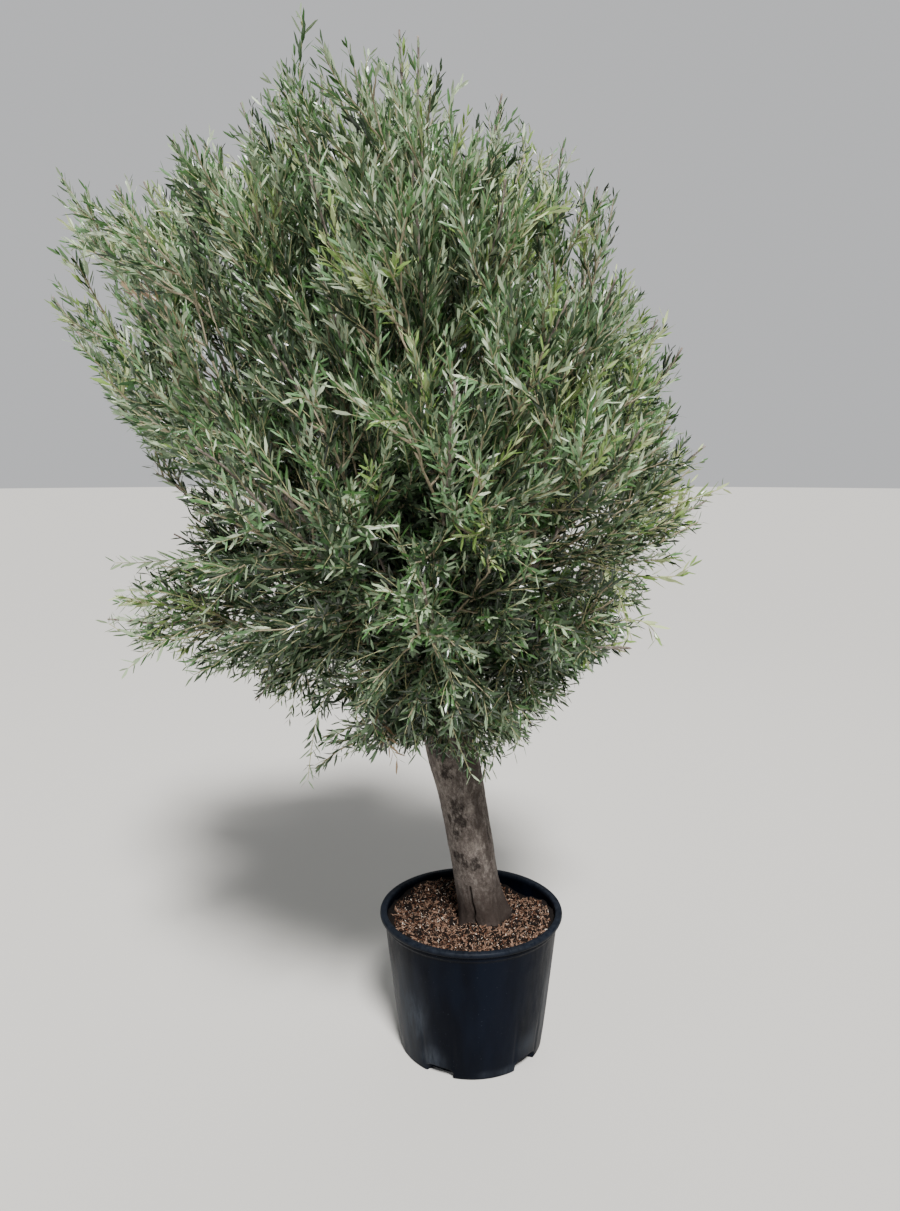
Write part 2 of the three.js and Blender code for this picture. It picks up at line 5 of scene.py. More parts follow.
import bpy
import numpy as np
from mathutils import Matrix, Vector

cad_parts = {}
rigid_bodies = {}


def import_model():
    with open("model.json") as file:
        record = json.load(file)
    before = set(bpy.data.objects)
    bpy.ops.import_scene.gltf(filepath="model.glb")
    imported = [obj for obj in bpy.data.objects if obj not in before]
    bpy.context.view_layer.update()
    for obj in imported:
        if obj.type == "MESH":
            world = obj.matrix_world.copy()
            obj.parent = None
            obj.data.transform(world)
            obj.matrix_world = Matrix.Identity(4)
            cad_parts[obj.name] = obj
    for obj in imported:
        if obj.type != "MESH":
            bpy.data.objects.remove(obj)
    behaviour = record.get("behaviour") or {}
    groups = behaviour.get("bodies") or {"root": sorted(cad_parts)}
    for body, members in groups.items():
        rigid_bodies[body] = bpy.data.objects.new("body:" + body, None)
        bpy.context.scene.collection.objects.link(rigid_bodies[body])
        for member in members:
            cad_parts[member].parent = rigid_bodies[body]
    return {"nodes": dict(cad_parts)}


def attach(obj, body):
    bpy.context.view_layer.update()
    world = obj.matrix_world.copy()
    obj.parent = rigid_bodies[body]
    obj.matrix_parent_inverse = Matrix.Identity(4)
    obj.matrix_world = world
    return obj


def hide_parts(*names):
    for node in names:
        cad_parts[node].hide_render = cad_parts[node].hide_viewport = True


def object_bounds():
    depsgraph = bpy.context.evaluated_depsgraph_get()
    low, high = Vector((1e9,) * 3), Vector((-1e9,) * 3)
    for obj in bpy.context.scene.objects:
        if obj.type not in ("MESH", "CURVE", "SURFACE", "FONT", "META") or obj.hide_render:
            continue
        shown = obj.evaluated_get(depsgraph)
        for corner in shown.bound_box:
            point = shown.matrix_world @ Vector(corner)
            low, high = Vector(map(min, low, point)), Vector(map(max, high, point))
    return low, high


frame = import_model()
cadBox = [list(corner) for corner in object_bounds()]
nodes = frame["nodes"]
up = Vector((0, 0, 1))


def colour(red, green, blue):
    # a colour given as 0 to 255 a channel, in the linear values that shaders take
    tones = [value / 255 for value in (red, green, blue)]
    return tuple(t / 12.92 if t <= 0.04045 else ((t + 0.055) / 1.055) ** 2.4 for t in tones) + (1,)


def mix(low, high, share):
    return low + (high - low) * share


def smooth(value, low=0.0, high=1.0):
    share = np.clip((value - low) / (high - low), 0, 1)
    return share * share * (3 - 2 * share)


def softNoise(points, size, seed=0):
    # smooth value noise from -1 to 1 at every point, with bumps of the given size
    grid = np.asarray(points, float) / np.asarray(size, float)
    cell = np.floor(grid).astype(np.int64)
    part = grid - cell
    part = part * part * (3 - 2 * part)
    total = np.zeros(len(grid))
    for corner in itertools.product((0, 1), repeat=3):
        # a whole-number hash of the cell's corner gives its chance
        x, y, z = (cell + corner).T
        chance = (x * 374761393 + y * 668265263 + z * 1103515245 + seed * 40503) & 0xffffffff
        chance = ((chance ^ (chance >> 13)) * 1274126177) & 0xffffffff
        chance = ((chance ^ (chance >> 16)) & 0xffff) / 32767.5 - 1
        weight = np.prod(np.where(corner, part, 1 - part), axis=1)
        total += chance * weight
    return total


def layeredNoise(points, layers, folded=False):
    # noise of several sizes added up, each layer given as size, seed and weight
    total = 0
    for size, seed, weight in layers:
        bumps = softNoise(points, size, seed)
        total = total + weight * (np.abs(bumps) if folded else bumps)
    return total


def turnFrom(turns, heading, wholeTurn=2 * math.pi):
    # how far the turns lie from a heading, at most half a turn to either side
    return (turns - heading + wholeTurn / 2) % wholeTurn - wholeTurn / 2


def put(tree, kind, inputs=None, **settings):
    # one node with its settings, and each input either linked or set
    node = tree.nodes.new(kind)
    for key, value in settings.items():
        setattr(node, key, value)
    for key, value in (inputs or {}).items():
        if isinstance(value, bpy.types.NodeSocket):
            tree.links.new(value, node.inputs[key])
        else:
            node.inputs[key].default_value = value
    return node


def newTree(name, sizes):
    # a tree with named inputs, each given as label, socket kind and start value
    tree = bpy.data.node_groups.new(name, "GeometryNodeTree")
    face = tree.interface
    face.new_socket("Geometry", in_out="INPUT", socket_type="NodeSocketGeometry")
    for label, kind, value in sizes:
        item = face.new_socket(label, in_out="INPUT", socket_type="NodeSocket" + kind)
        if value is not None:
            item.default_value = value
    face.new_socket("Geometry", in_out="OUTPUT", socket_type="NodeSocketGeometry")
    return tree, tree.nodes.new("NodeGroupInput").outputs, tree.nodes.new("NodeGroupOutput").inputs


def addPiece(name, mesh):
    piece = bpy.data.objects.new(name, mesh)
    bpy.context.scene.collection.objects.link(piece)
    return piece


def grow(name, source, tree, values):
    # runs the tree on the source object and keeps the result as a plain mesh
    modifier = source.modifiers.new("grow", "NODES")
    modifier.node_group = tree
    for item in tree.interface.items_tree:
        if item.in_out == "INPUT" and item.name in values:
            modifier[item.identifier] = values[item.name]
    bpy.context.view_layer.update()
    depsgraph = bpy.context.evaluated_depsgraph_get()
    mesh = bpy.data.meshes.new_from_object(source.evaluated_get(depsgraph))
    source.modifiers.remove(modifier)
    mesh.name = name
    return addPiece(name, mesh)


def meshPiece(name, points, faces=(), edges=(), materials=(), smoothFaces=True):
    mesh = bpy.data.meshes.new(name)
    mesh.from_pydata([tuple(p) for p in points], [tuple(e) for e in edges], [tuple(f) for f in faces])
    for material in materials:
        mesh.materials.append(material)
    if smoothFaces:
        mesh.shade_smooth()
    return addPiece(name, mesh)


def shapeCollection(name, shapes):
    # the shapes that a tree scatters, in a collection of their own
    holder = bpy.data.collections.new(name)
    bpy.context.scene.collection.children.link(holder)
    for shape in shapes:
        bpy.context.scene.collection.objects.unlink(shape)
        holder.objects.link(shape)
    return holder


def addValues(piece, label, values, kind="FLOAT"):
    layer = piece.data.attributes.new(label, kind, "POINT")
    key = "vector" if kind == "FLOAT_VECTOR" else "value"
    layer.data.foreach_set(key, np.asarray(values, np.float32).ravel())


def discard(*things):
    for thing in things:
        bpy.data.objects.remove(thing)


def finishPiece(piece, slot, *replaced):
    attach(piece, "root")
    if replaced:
        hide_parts(*replaced)
    piece.data.calc_loop_triangles()
    print(piece.name, len(piece.data.loop_triangles), "triangles")


def newMaterial(name, base, roughness, specular=0.5):
    # uniform values sit on the shader itself
    material = bpy.data.materials.new(name)
    material.use_nodes = True
    shader = material.node_tree.nodes["Principled BSDF"]
    shader.inputs["Base Color"].default_value = base
    shader.inputs["Roughness"].default_value = roughness
    shader.inputs["Specular IOR Level"].default_value = specular
    return material, material.node_tree, shader


def calculate(tree, kind, first, second):
    return put(tree, "ShaderNodeMath", {0: first, 1: second}, operation=kind).outputs[0]


def plus(tree, first, second):
    return calculate(tree, "ADD", first, second)


def times(tree, first, second):
    return calculate(tree, "MULTIPLY", first, second)


def noise(tree, place, scale, detail, roughness):
    return put(tree, "ShaderNodeTexNoise", {"Vector": place, "Scale": scale, "Detail": detail,
                                            "Roughness": roughness}).outputs["Fac"]


def stretched(tree, place, height):
    return put(tree, "ShaderNodeMapping", {"Vector": place, "Scale": (1, 1, height)}).outputs[0]


def surfaceValue(tree, label, output="Fac"):
    return put(tree, "ShaderNodeAttribute", attribute_name=label).outputs[output]


def grey(value):
    return (value, value, value, 1)


def ramp(tree, value, stops):
    node = put(tree, "ShaderNodeValToRGB", {"Fac": value})
    band = node.color_ramp.elements
    while len(band) < len(stops):
        band.new(0.5)
    for element, (place, tone) in zip(band, stops):
        element.position = place
        element.color = tone
    return node.outputs["Color"]


def blendColours(tree, share, first, second, kind="MIX"):
    return put(tree, "ShaderNodeMix", {0: share, 6: first, 7: second}, data_type="RGBA",
               blend_type=kind).outputs[2]


def finishShader(tree, shader, tone, height, strength, distance):
    # the colour and the fine relief of a finish
    tree.links.new(tone, shader.inputs["Base Color"])
    bump = put(tree, "ShaderNodeBump", {"Height": height, "Strength": strength,
                                        "Distance": distance})
    tree.links.new(bump.outputs["Normal"], shader.inputs["Normal"])


# the rule by which the tree grows: lengths in metres, slants in degrees, turns in radians
rule = {
    "heart": Vector((-0.076, 0.015, 0.9003)),
    "foot": Vector((0.030, 0.020, 0.3153)),
    "growthSeed": 4127,
    "seedStep": 97,
    "goldenTurn": math.radians(137.508),
    "goldenShare": 0.618034,
    "leafReach": 0.205,
    "bendPlace": 0.45,
    "rootOut": 0.35,
    "slantFoot": 62,
    "slantTip": 30,
    "slantSpread": 8,
    "twigPlaces": (0.04, 0.94),
    "twigSpread": (0.8, 1.1),
    "wander": 0.007,       # how far a limb kinks to each side, share of its length
    "bareEnd": 0.62,       # limbs that are leafy from their root stop at this share
    "outlineReach": 1.03,  # share of the crown's outline that a limb may come to
}

# name: parent, place on it, heading, rise, reach, bend, girth, start of leaves, spread, lift, size
limbs = {
    "left": ("trunk", 0.93, 189, 46, 1.245, -2, 0.021, 0.46, 0.170, 0.1, 1),
    "crown_left": ("trunk", 0.96, 174, 78, 1.440, -15, 0.020, 0.4, 0.190, 0.25, 1),
    "crown_top": ("trunk", 0.97, 223, 86, 1.475, 0, 0.017, 0.46, 0.180, 0.25, 1),
    "right": ("trunk", 0.93, 5, 36, 0.800, 14, 0.020, 0.4, 0.160, 0.08, 0.85),
    "right_upper": ("trunk", 0.96, 358, 71, 1.220, -14, 0.019, 0.4, 0.180, 0.2, 1),
    "back_top": ("trunk", 0.95, 95, 66, 1.250, -12, 0.020, 0.42, 0.190, 0.2, 1),
    "front_low": ("trunk", 0.94, 268, 30, 0.700, 14, 0.019, 0.34, 0.150, 0.02, 0.8),
    "upper_left": ("left", 0.3, 167, 56, 1.480, 4, 0.013, 0.36, 0.180, 0.2, 1),
    "left_mid": ("left", 0.38, 172, 36, 1.130, 2, 0.011, 0.28, 0.150, 0.04, 0.9),
    "left_low": ("left", 0.16, 187, 16, 0.800, 12, 0.012, 0.4, 0.150, 0.02, 0.85),
    "low_left": ("left_low", 0.2, 166, -1, 0.570, 18, 0.009, 0.3, 0.120, -0.12, 0.7),
    "top_left": ("crown_left", 0.28, 206, 64, 1.310, 4, 0.012, 0.3, 0.190, 0.2, 1),
    "front_far_left": ("crown_left", 0.14, 223, 48, 1.120, -6, 0.013, 0.34, 0.180, 0.12, 1),
    "front_left": ("front_low", 0.22, 238, 38, 0.940, 6, 0.012, 0.3, 0.180, 0.1, 0.95),
    "front_mid": ("crown_top", 0.12, 272, 46, 0.960, 0, 0.012, 0.3, 0.170, 0.1, 0.95),
    "front_top": ("crown_top", 0.22, 266, 64, 1.180, 2, 0.012, 0.3, 0.190, 0.15, 1),
    "top_right": ("crown_top", 0.36, 50, 80, 1.420, -14, 0.0095, 0.25, 0.180, 0.22, 1),
    "front_right": ("right_upper", 0.16, 302, 42, 0.920, 0, 0.013, 0.3, 0.180, 0.12, 0.95),
    "front_right_low": ("right", 0.14, 310, 20, 0.660, 18, 0.011, 0.34, 0.140, 0.02, 0.75),
    "right_mid": ("right", 0.26, 338, 55, 0.960, 6, 0.012, 0.3, 0.160, 0.12, 0.9),
    "right_low": ("right", 0.34, 350, 14, 0.580, 10, 0.009, 0.25, 0.120, -0.04, 0.7),
    "back_left": ("back_top", 0.2, 128, 44, 1.060, -4, 0.013, 0.34, 0.190, 0.12, 1),
    "back_right": ("back_top", 0.26, 48, 46, 0.960, 0, 0.013, 0.34, 0.190, 0.12, 1),
    "back_low": ("trunk", 0.92, 68, 20, 0.670, 18, 0.015, 0.4, 0.150, 0.02, 0.9),
    "back_left_low": ("back_low", 0.12, 130, 14, 0.670, 16, 0.011, 0.34, 0.150, 0.02, 0.85),
    "hanging_left": ("trunk", 0.84, 213, -24, 0.400, 52, 0.007, 0, 0.080, -0.4, 0.55),
    "low_right": ("trunk", 0.86, 352, -10, 0.330, 36, 0.007, 0, 0.080, -0.25, 0.55),
    "trunk_right": ("trunk", 0.76, 322, -52, 0.270, 46, 0.007, 0, 0.060, -0.3, 0.42),
    "trunk_front": ("trunk", 0.83, 258, -24, 0.300, 44, 0.007, 0, 0.080, -0.3, 0.5),
    "trunk_back": ("trunk", 0.82, 100, -20, 0.330, 44, 0.007, 0, 0.090, -0.25, 0.55),

    "leader_far_left": ("left", 0.42, 184, 53, 1.330, 2, 0.007, 0.3, 0.150, 0.15, 0.9),
    "leader_left": ("crown_left", 0.20, 184, 61, 1.330, 2, 0.008, 0.3, 0.170, 0.2, 0.95),
    "leader_crown_left": ("crown_left", 0.34, 170, 71, 1.440, 0, 0.007, 0.25, 0.160, 0.25, 0.95),
    "leader_crown_front": ("crown_top", 0.30, 262, 78, 1.380, 2, 0.007, 0.25, 0.160, 0.25, 0.95),
    "leader_crown_right": ("crown_top", 0.40, 340, 84, 1.360, -4, 0.006, 0.2, 0.150, 0.25, 0.9),
    "leader_upper_right": ("right_upper", 0.24, 340, 76, 1.260, 4, 0.007, 0.25, 0.150, 0.2, 0.9),
    "leader_right": ("right_upper", 0.22, 12, 58, 1.040, -4, 0.007, 0.25, 0.150, 0.15, 0.85),
    "leader_low_right": ("right", 0.30, 348, 44, 0.860, 4, 0.006, 0.25, 0.130, 0.1, 0.8),
    "leader_front_left": ("front_far_left", 0.20, 212, 60, 1.200, 2, 0.007, 0.25, 0.160, 0.15, 0.95),
    "leader_front": ("front_mid", 0.25, 290, 54, 1.020, 2, 0.006, 0.25, 0.150, 0.12, 0.9),
    "leader_front_right": ("right_upper", 0.20, 308, 58, 1.040, 2, 0.006, 0.25, 0.150, 0.12, 0.9),
    "leader_top_front_left": ("crown_top", 0.30, 226, 80, 1.360, 0, 0.007, 0.25, 0.160, 0.25, 0.95),
    "leader_high_left": ("crown_left", 0.20, 236, 68, 1.200, 2, 0.007, 0.25, 0.160, 0.2, 0.95),
    "leader_inner_left": ("crown_top", 0.16, 249, 58, 1.050, 2, 0.007, 0.25, 0.160, 0.15, 0.9),
    "leader_mid_left": ("front_left", 0.20, 243, 51, 0.980, 4, 0.006, 0.25, 0.150, 0.12, 0.9),
    "leader_top_front": ("crown_top", 0.26, 286, 69, 1.140, 2, 0.006, 0.25, 0.150, 0.15, 0.9),
    "leader_back_inner": ("back_top", 0.28, 122, 71, 1.340, -2, 0.007, 0.25, 0.160, 0.2, 0.95),
    "leader_back_left": ("back_top", 0.24, 142, 62, 1.240, 0, 0.007, 0.25, 0.160, 0.15, 0.95),
    "leader_back": ("back_top", 0.30, 78, 78, 1.330, -2, 0.007, 0.25, 0.160, 0.2, 0.95),
    "leader_back_right": ("back_top", 0.22, 30, 62, 1.100, 0, 0.007, 0.25, 0.160, 0.15, 0.9),
    "leader_low_left": ("left_low", 0.22, 183, 25, 0.690, 6, 0.006, 0.25, 0.130, 0.0, 0.8),
    "leader_left_under": ("left", 0.22, 178, 31, 0.780, 4, 0.006, 0.25, 0.130, 0.0, 0.8),
    "leader_back_low": ("back_low", 0.30, 88, 36, 0.860, 4, 0.007, 0.25, 0.150, 0.05, 0.9),
}
limbKeys = ("parent", "at", "heading", "rise", "reach", "bend", "girth", "foliage", "spread",
            "lift", "size")
limbs = {name: dict(zip(limbKeys, row)) for name, row in limbs.items()}


class Dice:
    # a row of fixed chances, the same at every run
    factor = 16807
    modulus = 2147483647

    def __init__(self, seed):
        self.state = seed

    def between(self, low, high):
        self.state = (self.state * self.factor) % self.modulus
        return mix(low, high, self.state / self.modulus)


class LimbPath:
    # a path that bends in one plane, from its root over a control point to its tip
    def __init__(self, root, control, tip, wander=0.0, seed=0):
        self.root, self.control, self.tip = root, control, tip
        chord = tip - root
        self.reach = chord.length
        self.side = (control - root).cross(chord)
        if self.side.length < 1e-3 * self.reach ** 2:
            self.side = Vector((-chord.y, chord.x, 0))
        self.side.normalize()
        self.wander = wander
        dice = Dice(seed + 11)
        self.waves = [dice.between(0.6, 1.4) for _ in range(6)]

    def tangent(self, share):
        share = min(share, 1)
        slope = (self.control - self.root) * (1 - share) + (self.tip - self.control) * share
        return slope.normalized()

    def point(self, share):
        past = max(0, share - 1)
        s = min(share, 1)
        place = self.root * (1 - s) ** 2 + self.control * 2 * s * (1 - s) + self.tip * s * s
        place += self.tangent(1) * (past * self.reach)
        if self.wander:
            # small kinks to each side, none near the root
            first, second, third, turnA, turnB, turnC = self.waves
            amount = self.wander * self.reach * float(smooth(share, 0.05, 0.4))
            aside = math.sin(6 * first * share + 9 * turnA) + 0.5 * math.sin(17 * third * share)
            over = math.sin(7 * second * share + 7 * turnB) + 0.5 * math.sin(19 * turnC * share)
            place += self.side * (amount * aside)
            place += self.side.cross(self.tangent(share)) * (amount * over)
        return place

    def branch(self, share, turn, slant):
        along = self.tangent(share)
        over = self.side.cross(along)
        return (along * math.cos(slant) + self.side * (math.cos(turn) * math.sin(slant))
                + over * (math.sin(turn) * math.sin(slant)))


def polar(heading, rise, reach):
    heading, rise = math.radians(heading), math.radians(rise)
    level = reach * math.cos(rise)
    return Vector((level * math.cos(heading), level * math.sin(heading), reach * math.sin(rise)))


trunk = {
    "head": Vector((-0.110, -0.008, 0.590)),
    "sag": Vector((-0.042, -0.014, 0.270)),
    "footGirth": 0.068,
    "waistGirth": 0.056,
    "headGirth": 0.062,
    "flareHeight": 0.042,
    "rootLobes": 5,
    "lobeDepth": 0.09,
    "swellShares": (0.4, 0.85),
    "domeStart": 0.88,
    "domeLength": 0.12,
    "domeFlatness": 0.93,
    "sides": 200,
    "rings": 250,
    "sunk": 0.022,
    "furrow": 0.0016,
    "swelling": 0.0030,
    "grain": 0.0005,
    "scale": 0.0009,
    # relief and ragged edges, each layer as size, seed and weight
    "swellings": [((0.07, 0.07, 0.11), 3, 1), ((0.035, 0.035, 0.07), 4, 0.6)],
    "furrows": [((0.014, 0.014, 0.085), 5, 1), ((0.007, 0.007, 0.036), 6, 0.5)],
    "grains": [((0.0035, 0.0035, 0.009), 7, 1)],
    "ragged": [(0.013, 8, 1), (0.006, 9, 0.8), (0.003, 10, 0.6)],
    "scales": [((0.005, 0.005, 0.007), 12, 1)],
    "chafed": [((0.0045, 0.0045, 0.010), 14, 1), ((0.002, 0.002, 0.004), 15, 0.7)],
}
trunkPath = LimbPath(rule["foot"], rule["foot"] + trunk["sag"], rule["foot"] + trunk["head"])


def trunkRadius(share, turn=0.0):
    height = np.maximum(share, 0) * trunk["head"].z
    flare = np.exp(-height / trunk["flareHeight"])
    girth = (trunk["waistGirth"] + (trunk["footGirth"] - trunk["waistGirth"]) * flare
             + (trunk["headGirth"] - trunk["waistGirth"]) * smooth(share, *trunk["swellShares"]))
    lobes = 1 + trunk["lobeDepth"] * flare * np.cos(trunk["rootLobes"] * turn)
    past = np.maximum(0, (share - trunk["domeStart"]) / trunk["domeLength"])
    return girth * lobes * np.sqrt(np.maximum(1 - trunk["domeFlatness"] * past * past, 0.02))


def limbPath(name):
    limb = limbs[name]
    parent = trunkPath if limb["parent"] == "trunk" else plainPaths[limb["parent"]]
    root = parent.point(limb["at"])
    tip = rule["heart"] + polar(limb["heading"], limb["rise"],
                                limb["reach"] - limb["size"] * rule["leafReach"])
    if limb["parent"] == "trunk":
        root += polar(limb["heading"], 0, rule["rootOut"] * float(trunkRadius(limb["at"])))
    chord = tip - root
    heading = math.degrees(math.atan2(chord.y, chord.x))
    rise = math.degrees(math.asin(chord.z / chord.length))
    control = root + polar(heading, rise + limb["bend"], rule["bendPlace"] * chord.length)
    return root, control, tip


view = {"place": (-0.0522, -2.12, 1.43), "pitch": 8.8, "lens": 27.05}
# reach of the crown seen from the camera, in metres at the heart's distance, by angle round it
crownReach = {
    -130: 0.20, -90: 0.18, -60: 0.25, -36: 0.25, -12: 0.31, 0: 0.34, 6: 0.37, 12: 0.45, 18: 0.51,
    24: 0.61, 30: 0.72, 36: 0.82, 45: 0.82, 54: 0.96, 66: 1.09, 72: 1.28, 84: 1.36, 90: 1.46,
    96: 1.54, 103: 1.58, 108: 1.48, 114: 1.46, 126: 1.52, 132: 1.43, 135: 1.40, 138: 1.18, 144: 0.74,
    150: 0.70, 156: 0.75, 162: 0.82, 168: 0.81, 174: 0.75, 180: 0.46, 190: 0.37, 204: 0.37,
    216: 0.39, 222: 0.28, 230: 0.22,
}


def seenFrom(place):
    # a place as the camera sees it, in metres at the heart's distance
    tilt = math.radians(view["pitch"])
    away = place - Vector(view["place"])
    depth = away.y * math.cos(tilt) - away.z * math.sin(tilt)
    lift = away.y * math.sin(tilt) + away.z * math.cos(tilt)
    distance = rule["heart"].y - view["place"][1]
    return away.x / depth * distance, lift / depth * distance


def pastOutline(place, edge):
    x, y = seenFrom(place)
    heartX, heartY = seenFrom(rule["heart"])
    angle = math.degrees(math.atan2(y - heartY, x - heartX))
    angle = angle + 360 if angle < -130 else angle
    reach = np.interp(angle, list(crownReach), list(crownReach.values()))
    return math.hypot(x - heartX, y - heartY) > edge * reach


plainPaths, paths = {}, {}
for index, name in enumerate(limbs):
    ends = limbPath(name)
    plainPaths[name] = LimbPath(*ends)
    path = LimbPath(*ends, wander=rule["wander"], seed=1000 + 31 * index)
    path.end = 0.97 + limbs[name]["size"] * rule["leafReach"] / path.reach
    if not limbs[name]["foliage"]:
        path.end *= rule["bareEnd"]
    while pastOutline(path.point(path.end), rule["outlineReach"]) and path.end > 0.5:
        path.end -= 0.01
    paths[name] = path
print("growth rule ready:", len(limbs), "limbs")


lamps = {
    "key": {"kind": "SUN", "place": (0.50, -2.90, 5.1), "size": 0.22, "power": 6.6,
            "tone": (1, 0.985, 0.96)},
    "fill": {"kind": "AREA", "place": (-3.2, -2.2, 2.8), "size": 2.2, "power": 25,
             "tone": (0.93, 0.96, 1)},
    "rim": {"kind": "AREA", "place": (0.4, 2.9, 4.2), "size": 2.4, "power": 36,
            "tone": (1, 0.99, 0.96)},
}
studio = {"aim": Vector((-0.15, 0, 1.2)), "floorRadius": 60, "floorSides": 96,
          "floorTone": colour(214, 212, 208), "skyTone": (0.93, 0.96, 1, 1), "skyStrength": 0.16,
          "backdropTone": (0.97, 0.98, 1, 1), "backdropStrength": 0.62}


def makeStudio():
    camera = bpy.data.objects.new("camera", bpy.data.cameras.new("camera"))
    camera.location = view["place"]
    camera.rotation_euler = (math.radians(90 - view["pitch"]), 0, 0)
    camera.data.lens = view["lens"]
    camera.data.clip_end = 200
    bpy.context.scene.collection.objects.link(camera)
    bpy.context.scene.camera = camera
    for name, lamp in lamps.items():
        light = bpy.data.lights.new(name, lamp["kind"])
        if lamp["kind"] == "SUN":
            light.angle = lamp["size"]
        else:
            light.size = lamp["size"]
        light.energy = lamp["power"]
        light.color = lamp["tone"]
        holder = bpy.data.objects.new(name, light)
        holder.location = lamp["place"]
        aim = studio["aim"] - holder.location
        holder.rotation_euler = aim.to_track_quat("-Z", "Y").to_euler()
        bpy.context.scene.collection.objects.link(holder)
    world = bpy.data.worlds.new("softRoom")
    world.use_nodes = True
    tree = world.node_tree
    room = tree.nodes["Background"]
    room.inputs["Color"].default_value = studio["skyTone"]
    room.inputs["Strength"].default_value = studio["skyStrength"]
    backdrop = put(tree, "ShaderNodeBackground", {"Color": studio["backdropTone"],
                                                  "Strength": studio["backdropStrength"]})
    seen = put(tree, "ShaderNodeLightPath").outputs["Is Camera Ray"]
    both = put(tree, "ShaderNodeMixShader", {0: seen, 1: room.outputs[0], 2: backdrop.outputs[0]})
    tree.links.new(both.outputs[0], tree.nodes["World Output"].inputs["Surface"])
    bpy.context.scene.world = world
    radius, sides = studio["floorRadius"], studio["floorSides"]
    ring = [(radius * math.cos(a), radius * math.sin(a), 0)
            for a in np.linspace(0, 2 * math.pi, sides, endpoint=False)]
    floorMaterial, _, _ = newMaterial("paleFloor", studio["floorTone"], 0.75)
    floor = meshPiece("floor", ring, faces=[range(sides)], materials=[floorMaterial])


makeStudio()
print("studio ready")


# marks on the trunk's bark: share of its height, heading round it in degrees, half height, half width
barkMarks = {
    "scaly": [(0.55, -104, 0.022, 0.020), (0.49, -112, 0.036, 0.021), (0.43, -118, 0.018, 0.012),
              (0.33, -127, 0.014, 0.020), (0.30, -104, 0.016, 0.026), (0.275, -84, 0.010, 0.012),
              (0.79, -118, 0.040, 0.026), (0.70, -113, 0.022, 0.018), (0.39, -30, 0.014, 0.006),
              (0.62, 60, 0.050, 0.030), (0.36, 140, 0.040, 0.024), (0.50, 20, 0.025, 0.010)],
    "brown": [(0.66, -42, 0.080, 0.026), (0.50, -50, 0.090, 0.018), (0.34, -40, 0.080, 0.018),
              (0.45, 170, 0.090, 0.020), (0.22, 80, 0.050, 0.030)],
    "crack": {"heading": -107, "low": -0.02, "high": 0.205, "width": 0.0022, "depth": 0.009,
              "meander": 0.0035, "meanderLength": 0.022, "fade": 0.02},
    "knot": {"share": 0.212, "heading": -103, "size": 0.010, "flatness": 1.6, "ripple": 0.0032,
             "rise": 0.0016},
}
# noise as scale, detail and roughness
barkFinish = {"roughness": 0.85, "specular": 0.25, "broad": (16, 5, 0.62), "streaks": (120, 8, 0.74),
              "flecks": (420, 4, 0.7), "stretch": 0.55, "grainShare": 0.46, "speckShare": 0.34,
              "relief": (0.75, 0.0018)}


def ringMesh(rings):
    # faces of a closed tube: rings of points in order, with a fan at each end
    count, sides = rings.shape[:2]
    points = rings.reshape(-1, 3)
    first = np.arange(count - 1)[:, None] * sides + np.arange(sides)[None, :]
    nextOne = np.arange(count - 1)[:, None] * sides + (np.arange(sides)[None, :] + 1) % sides
    quads = np.stack([first, nextOne, nextOne + sides, first + sides], axis=-1).reshape(-1, 4)
    low, high = len(points), len(points) + 1
    points = np.vstack([points, rings[0].mean(0), rings[-1].mean(0)])
    faces = quads.tolist()
    last = (count - 1) * sides
    for i in range(sides):
        j = (i + 1) % sides
        faces.append((low, j, i))
        faces.append((high, last + i, last + j))
    return points, faces


def sweep(path, shares, radii):
    # rings of radius radii[ring, side] square to the path
    sides = radii.shape[1]
    turns = np.linspace(0, 2 * math.pi, sides, endpoint=False)
    rings = np.zeros((len(shares), sides, 3))
    for i, share in enumerate(shares):
        centre = np.array(path.point(share))
        across = np.array(path.side)
        over = np.array(path.side.cross(path.tangent(share)))
        rings[i] = centre + radii[i][:, None] * (np.cos(turns)[:, None] * across
                                                 + np.sin(turns)[:, None] * over)
    return rings


def makeBarkMaterial(name, paler):
    def tint(red, green, blue):
        return colour(*[min(255, paler * value) for value in (red, green, blue)])

    look = barkFinish
    material, tree, shader = newMaterial(name, tint(100, 91, 85), look["roughness"], look["specular"])
    place = surfaceValue(tree, "barkPlace", "Vector")
    broad = noise(tree, place, *look["broad"])
    streaks = noise(tree, stretched(tree, place, look["stretch"]), *look["streaks"])
    flecks = noise(tree, place, *look["flecks"])
    tone = ramp(tree, broad, [(0.30, tint(58, 50, 46)), (0.52, tint(104, 95, 90)),
                              (0.74, tint(160, 150, 142))])
    grain = ramp(tree, streaks, [(0.36, tint(44, 38, 34)), (0.50, tint(108, 99, 93)),
                                 (0.68, tint(178, 170, 162))])
    tone = blendColours(tree, look["grainShare"], tone, grain)
    speck = ramp(tree, flecks, [(0.40, colour(62, 55, 48)), (0.56, colour(255, 255, 255))])
    tone = blendColours(tree, look["speckShare"], tone, speck, "MULTIPLY")
    tone = blendColours(tree, surfaceValue(tree, "brownZone"), tone, colour(47, 38, 34))
    # the dark patches are scaly bark marks and painted shade in the furrows; they have flaked off in
    # places
    flaked = ramp(tree, streaks, [(0.47, grey(1)), (0.60, grey(0.55))])
    dark = times(tree, surfaceValue(tree, "darkPatch"), flaked)
    scaly = ramp(tree, flecks, [(0.44, colour(12, 9, 8)), (0.60, colour(46, 38, 34))])
    tone = blendColours(tree, dark, tone, scaly)
    # painted shade inside the long crack
    tone = blendColours(tree, surfaceValue(tree, "crackShade"), tone, colour(26, 20, 16))
    finishShader(tree, shader, tone, plus(tree, streaks, flecks), *look["relief"])
    return material


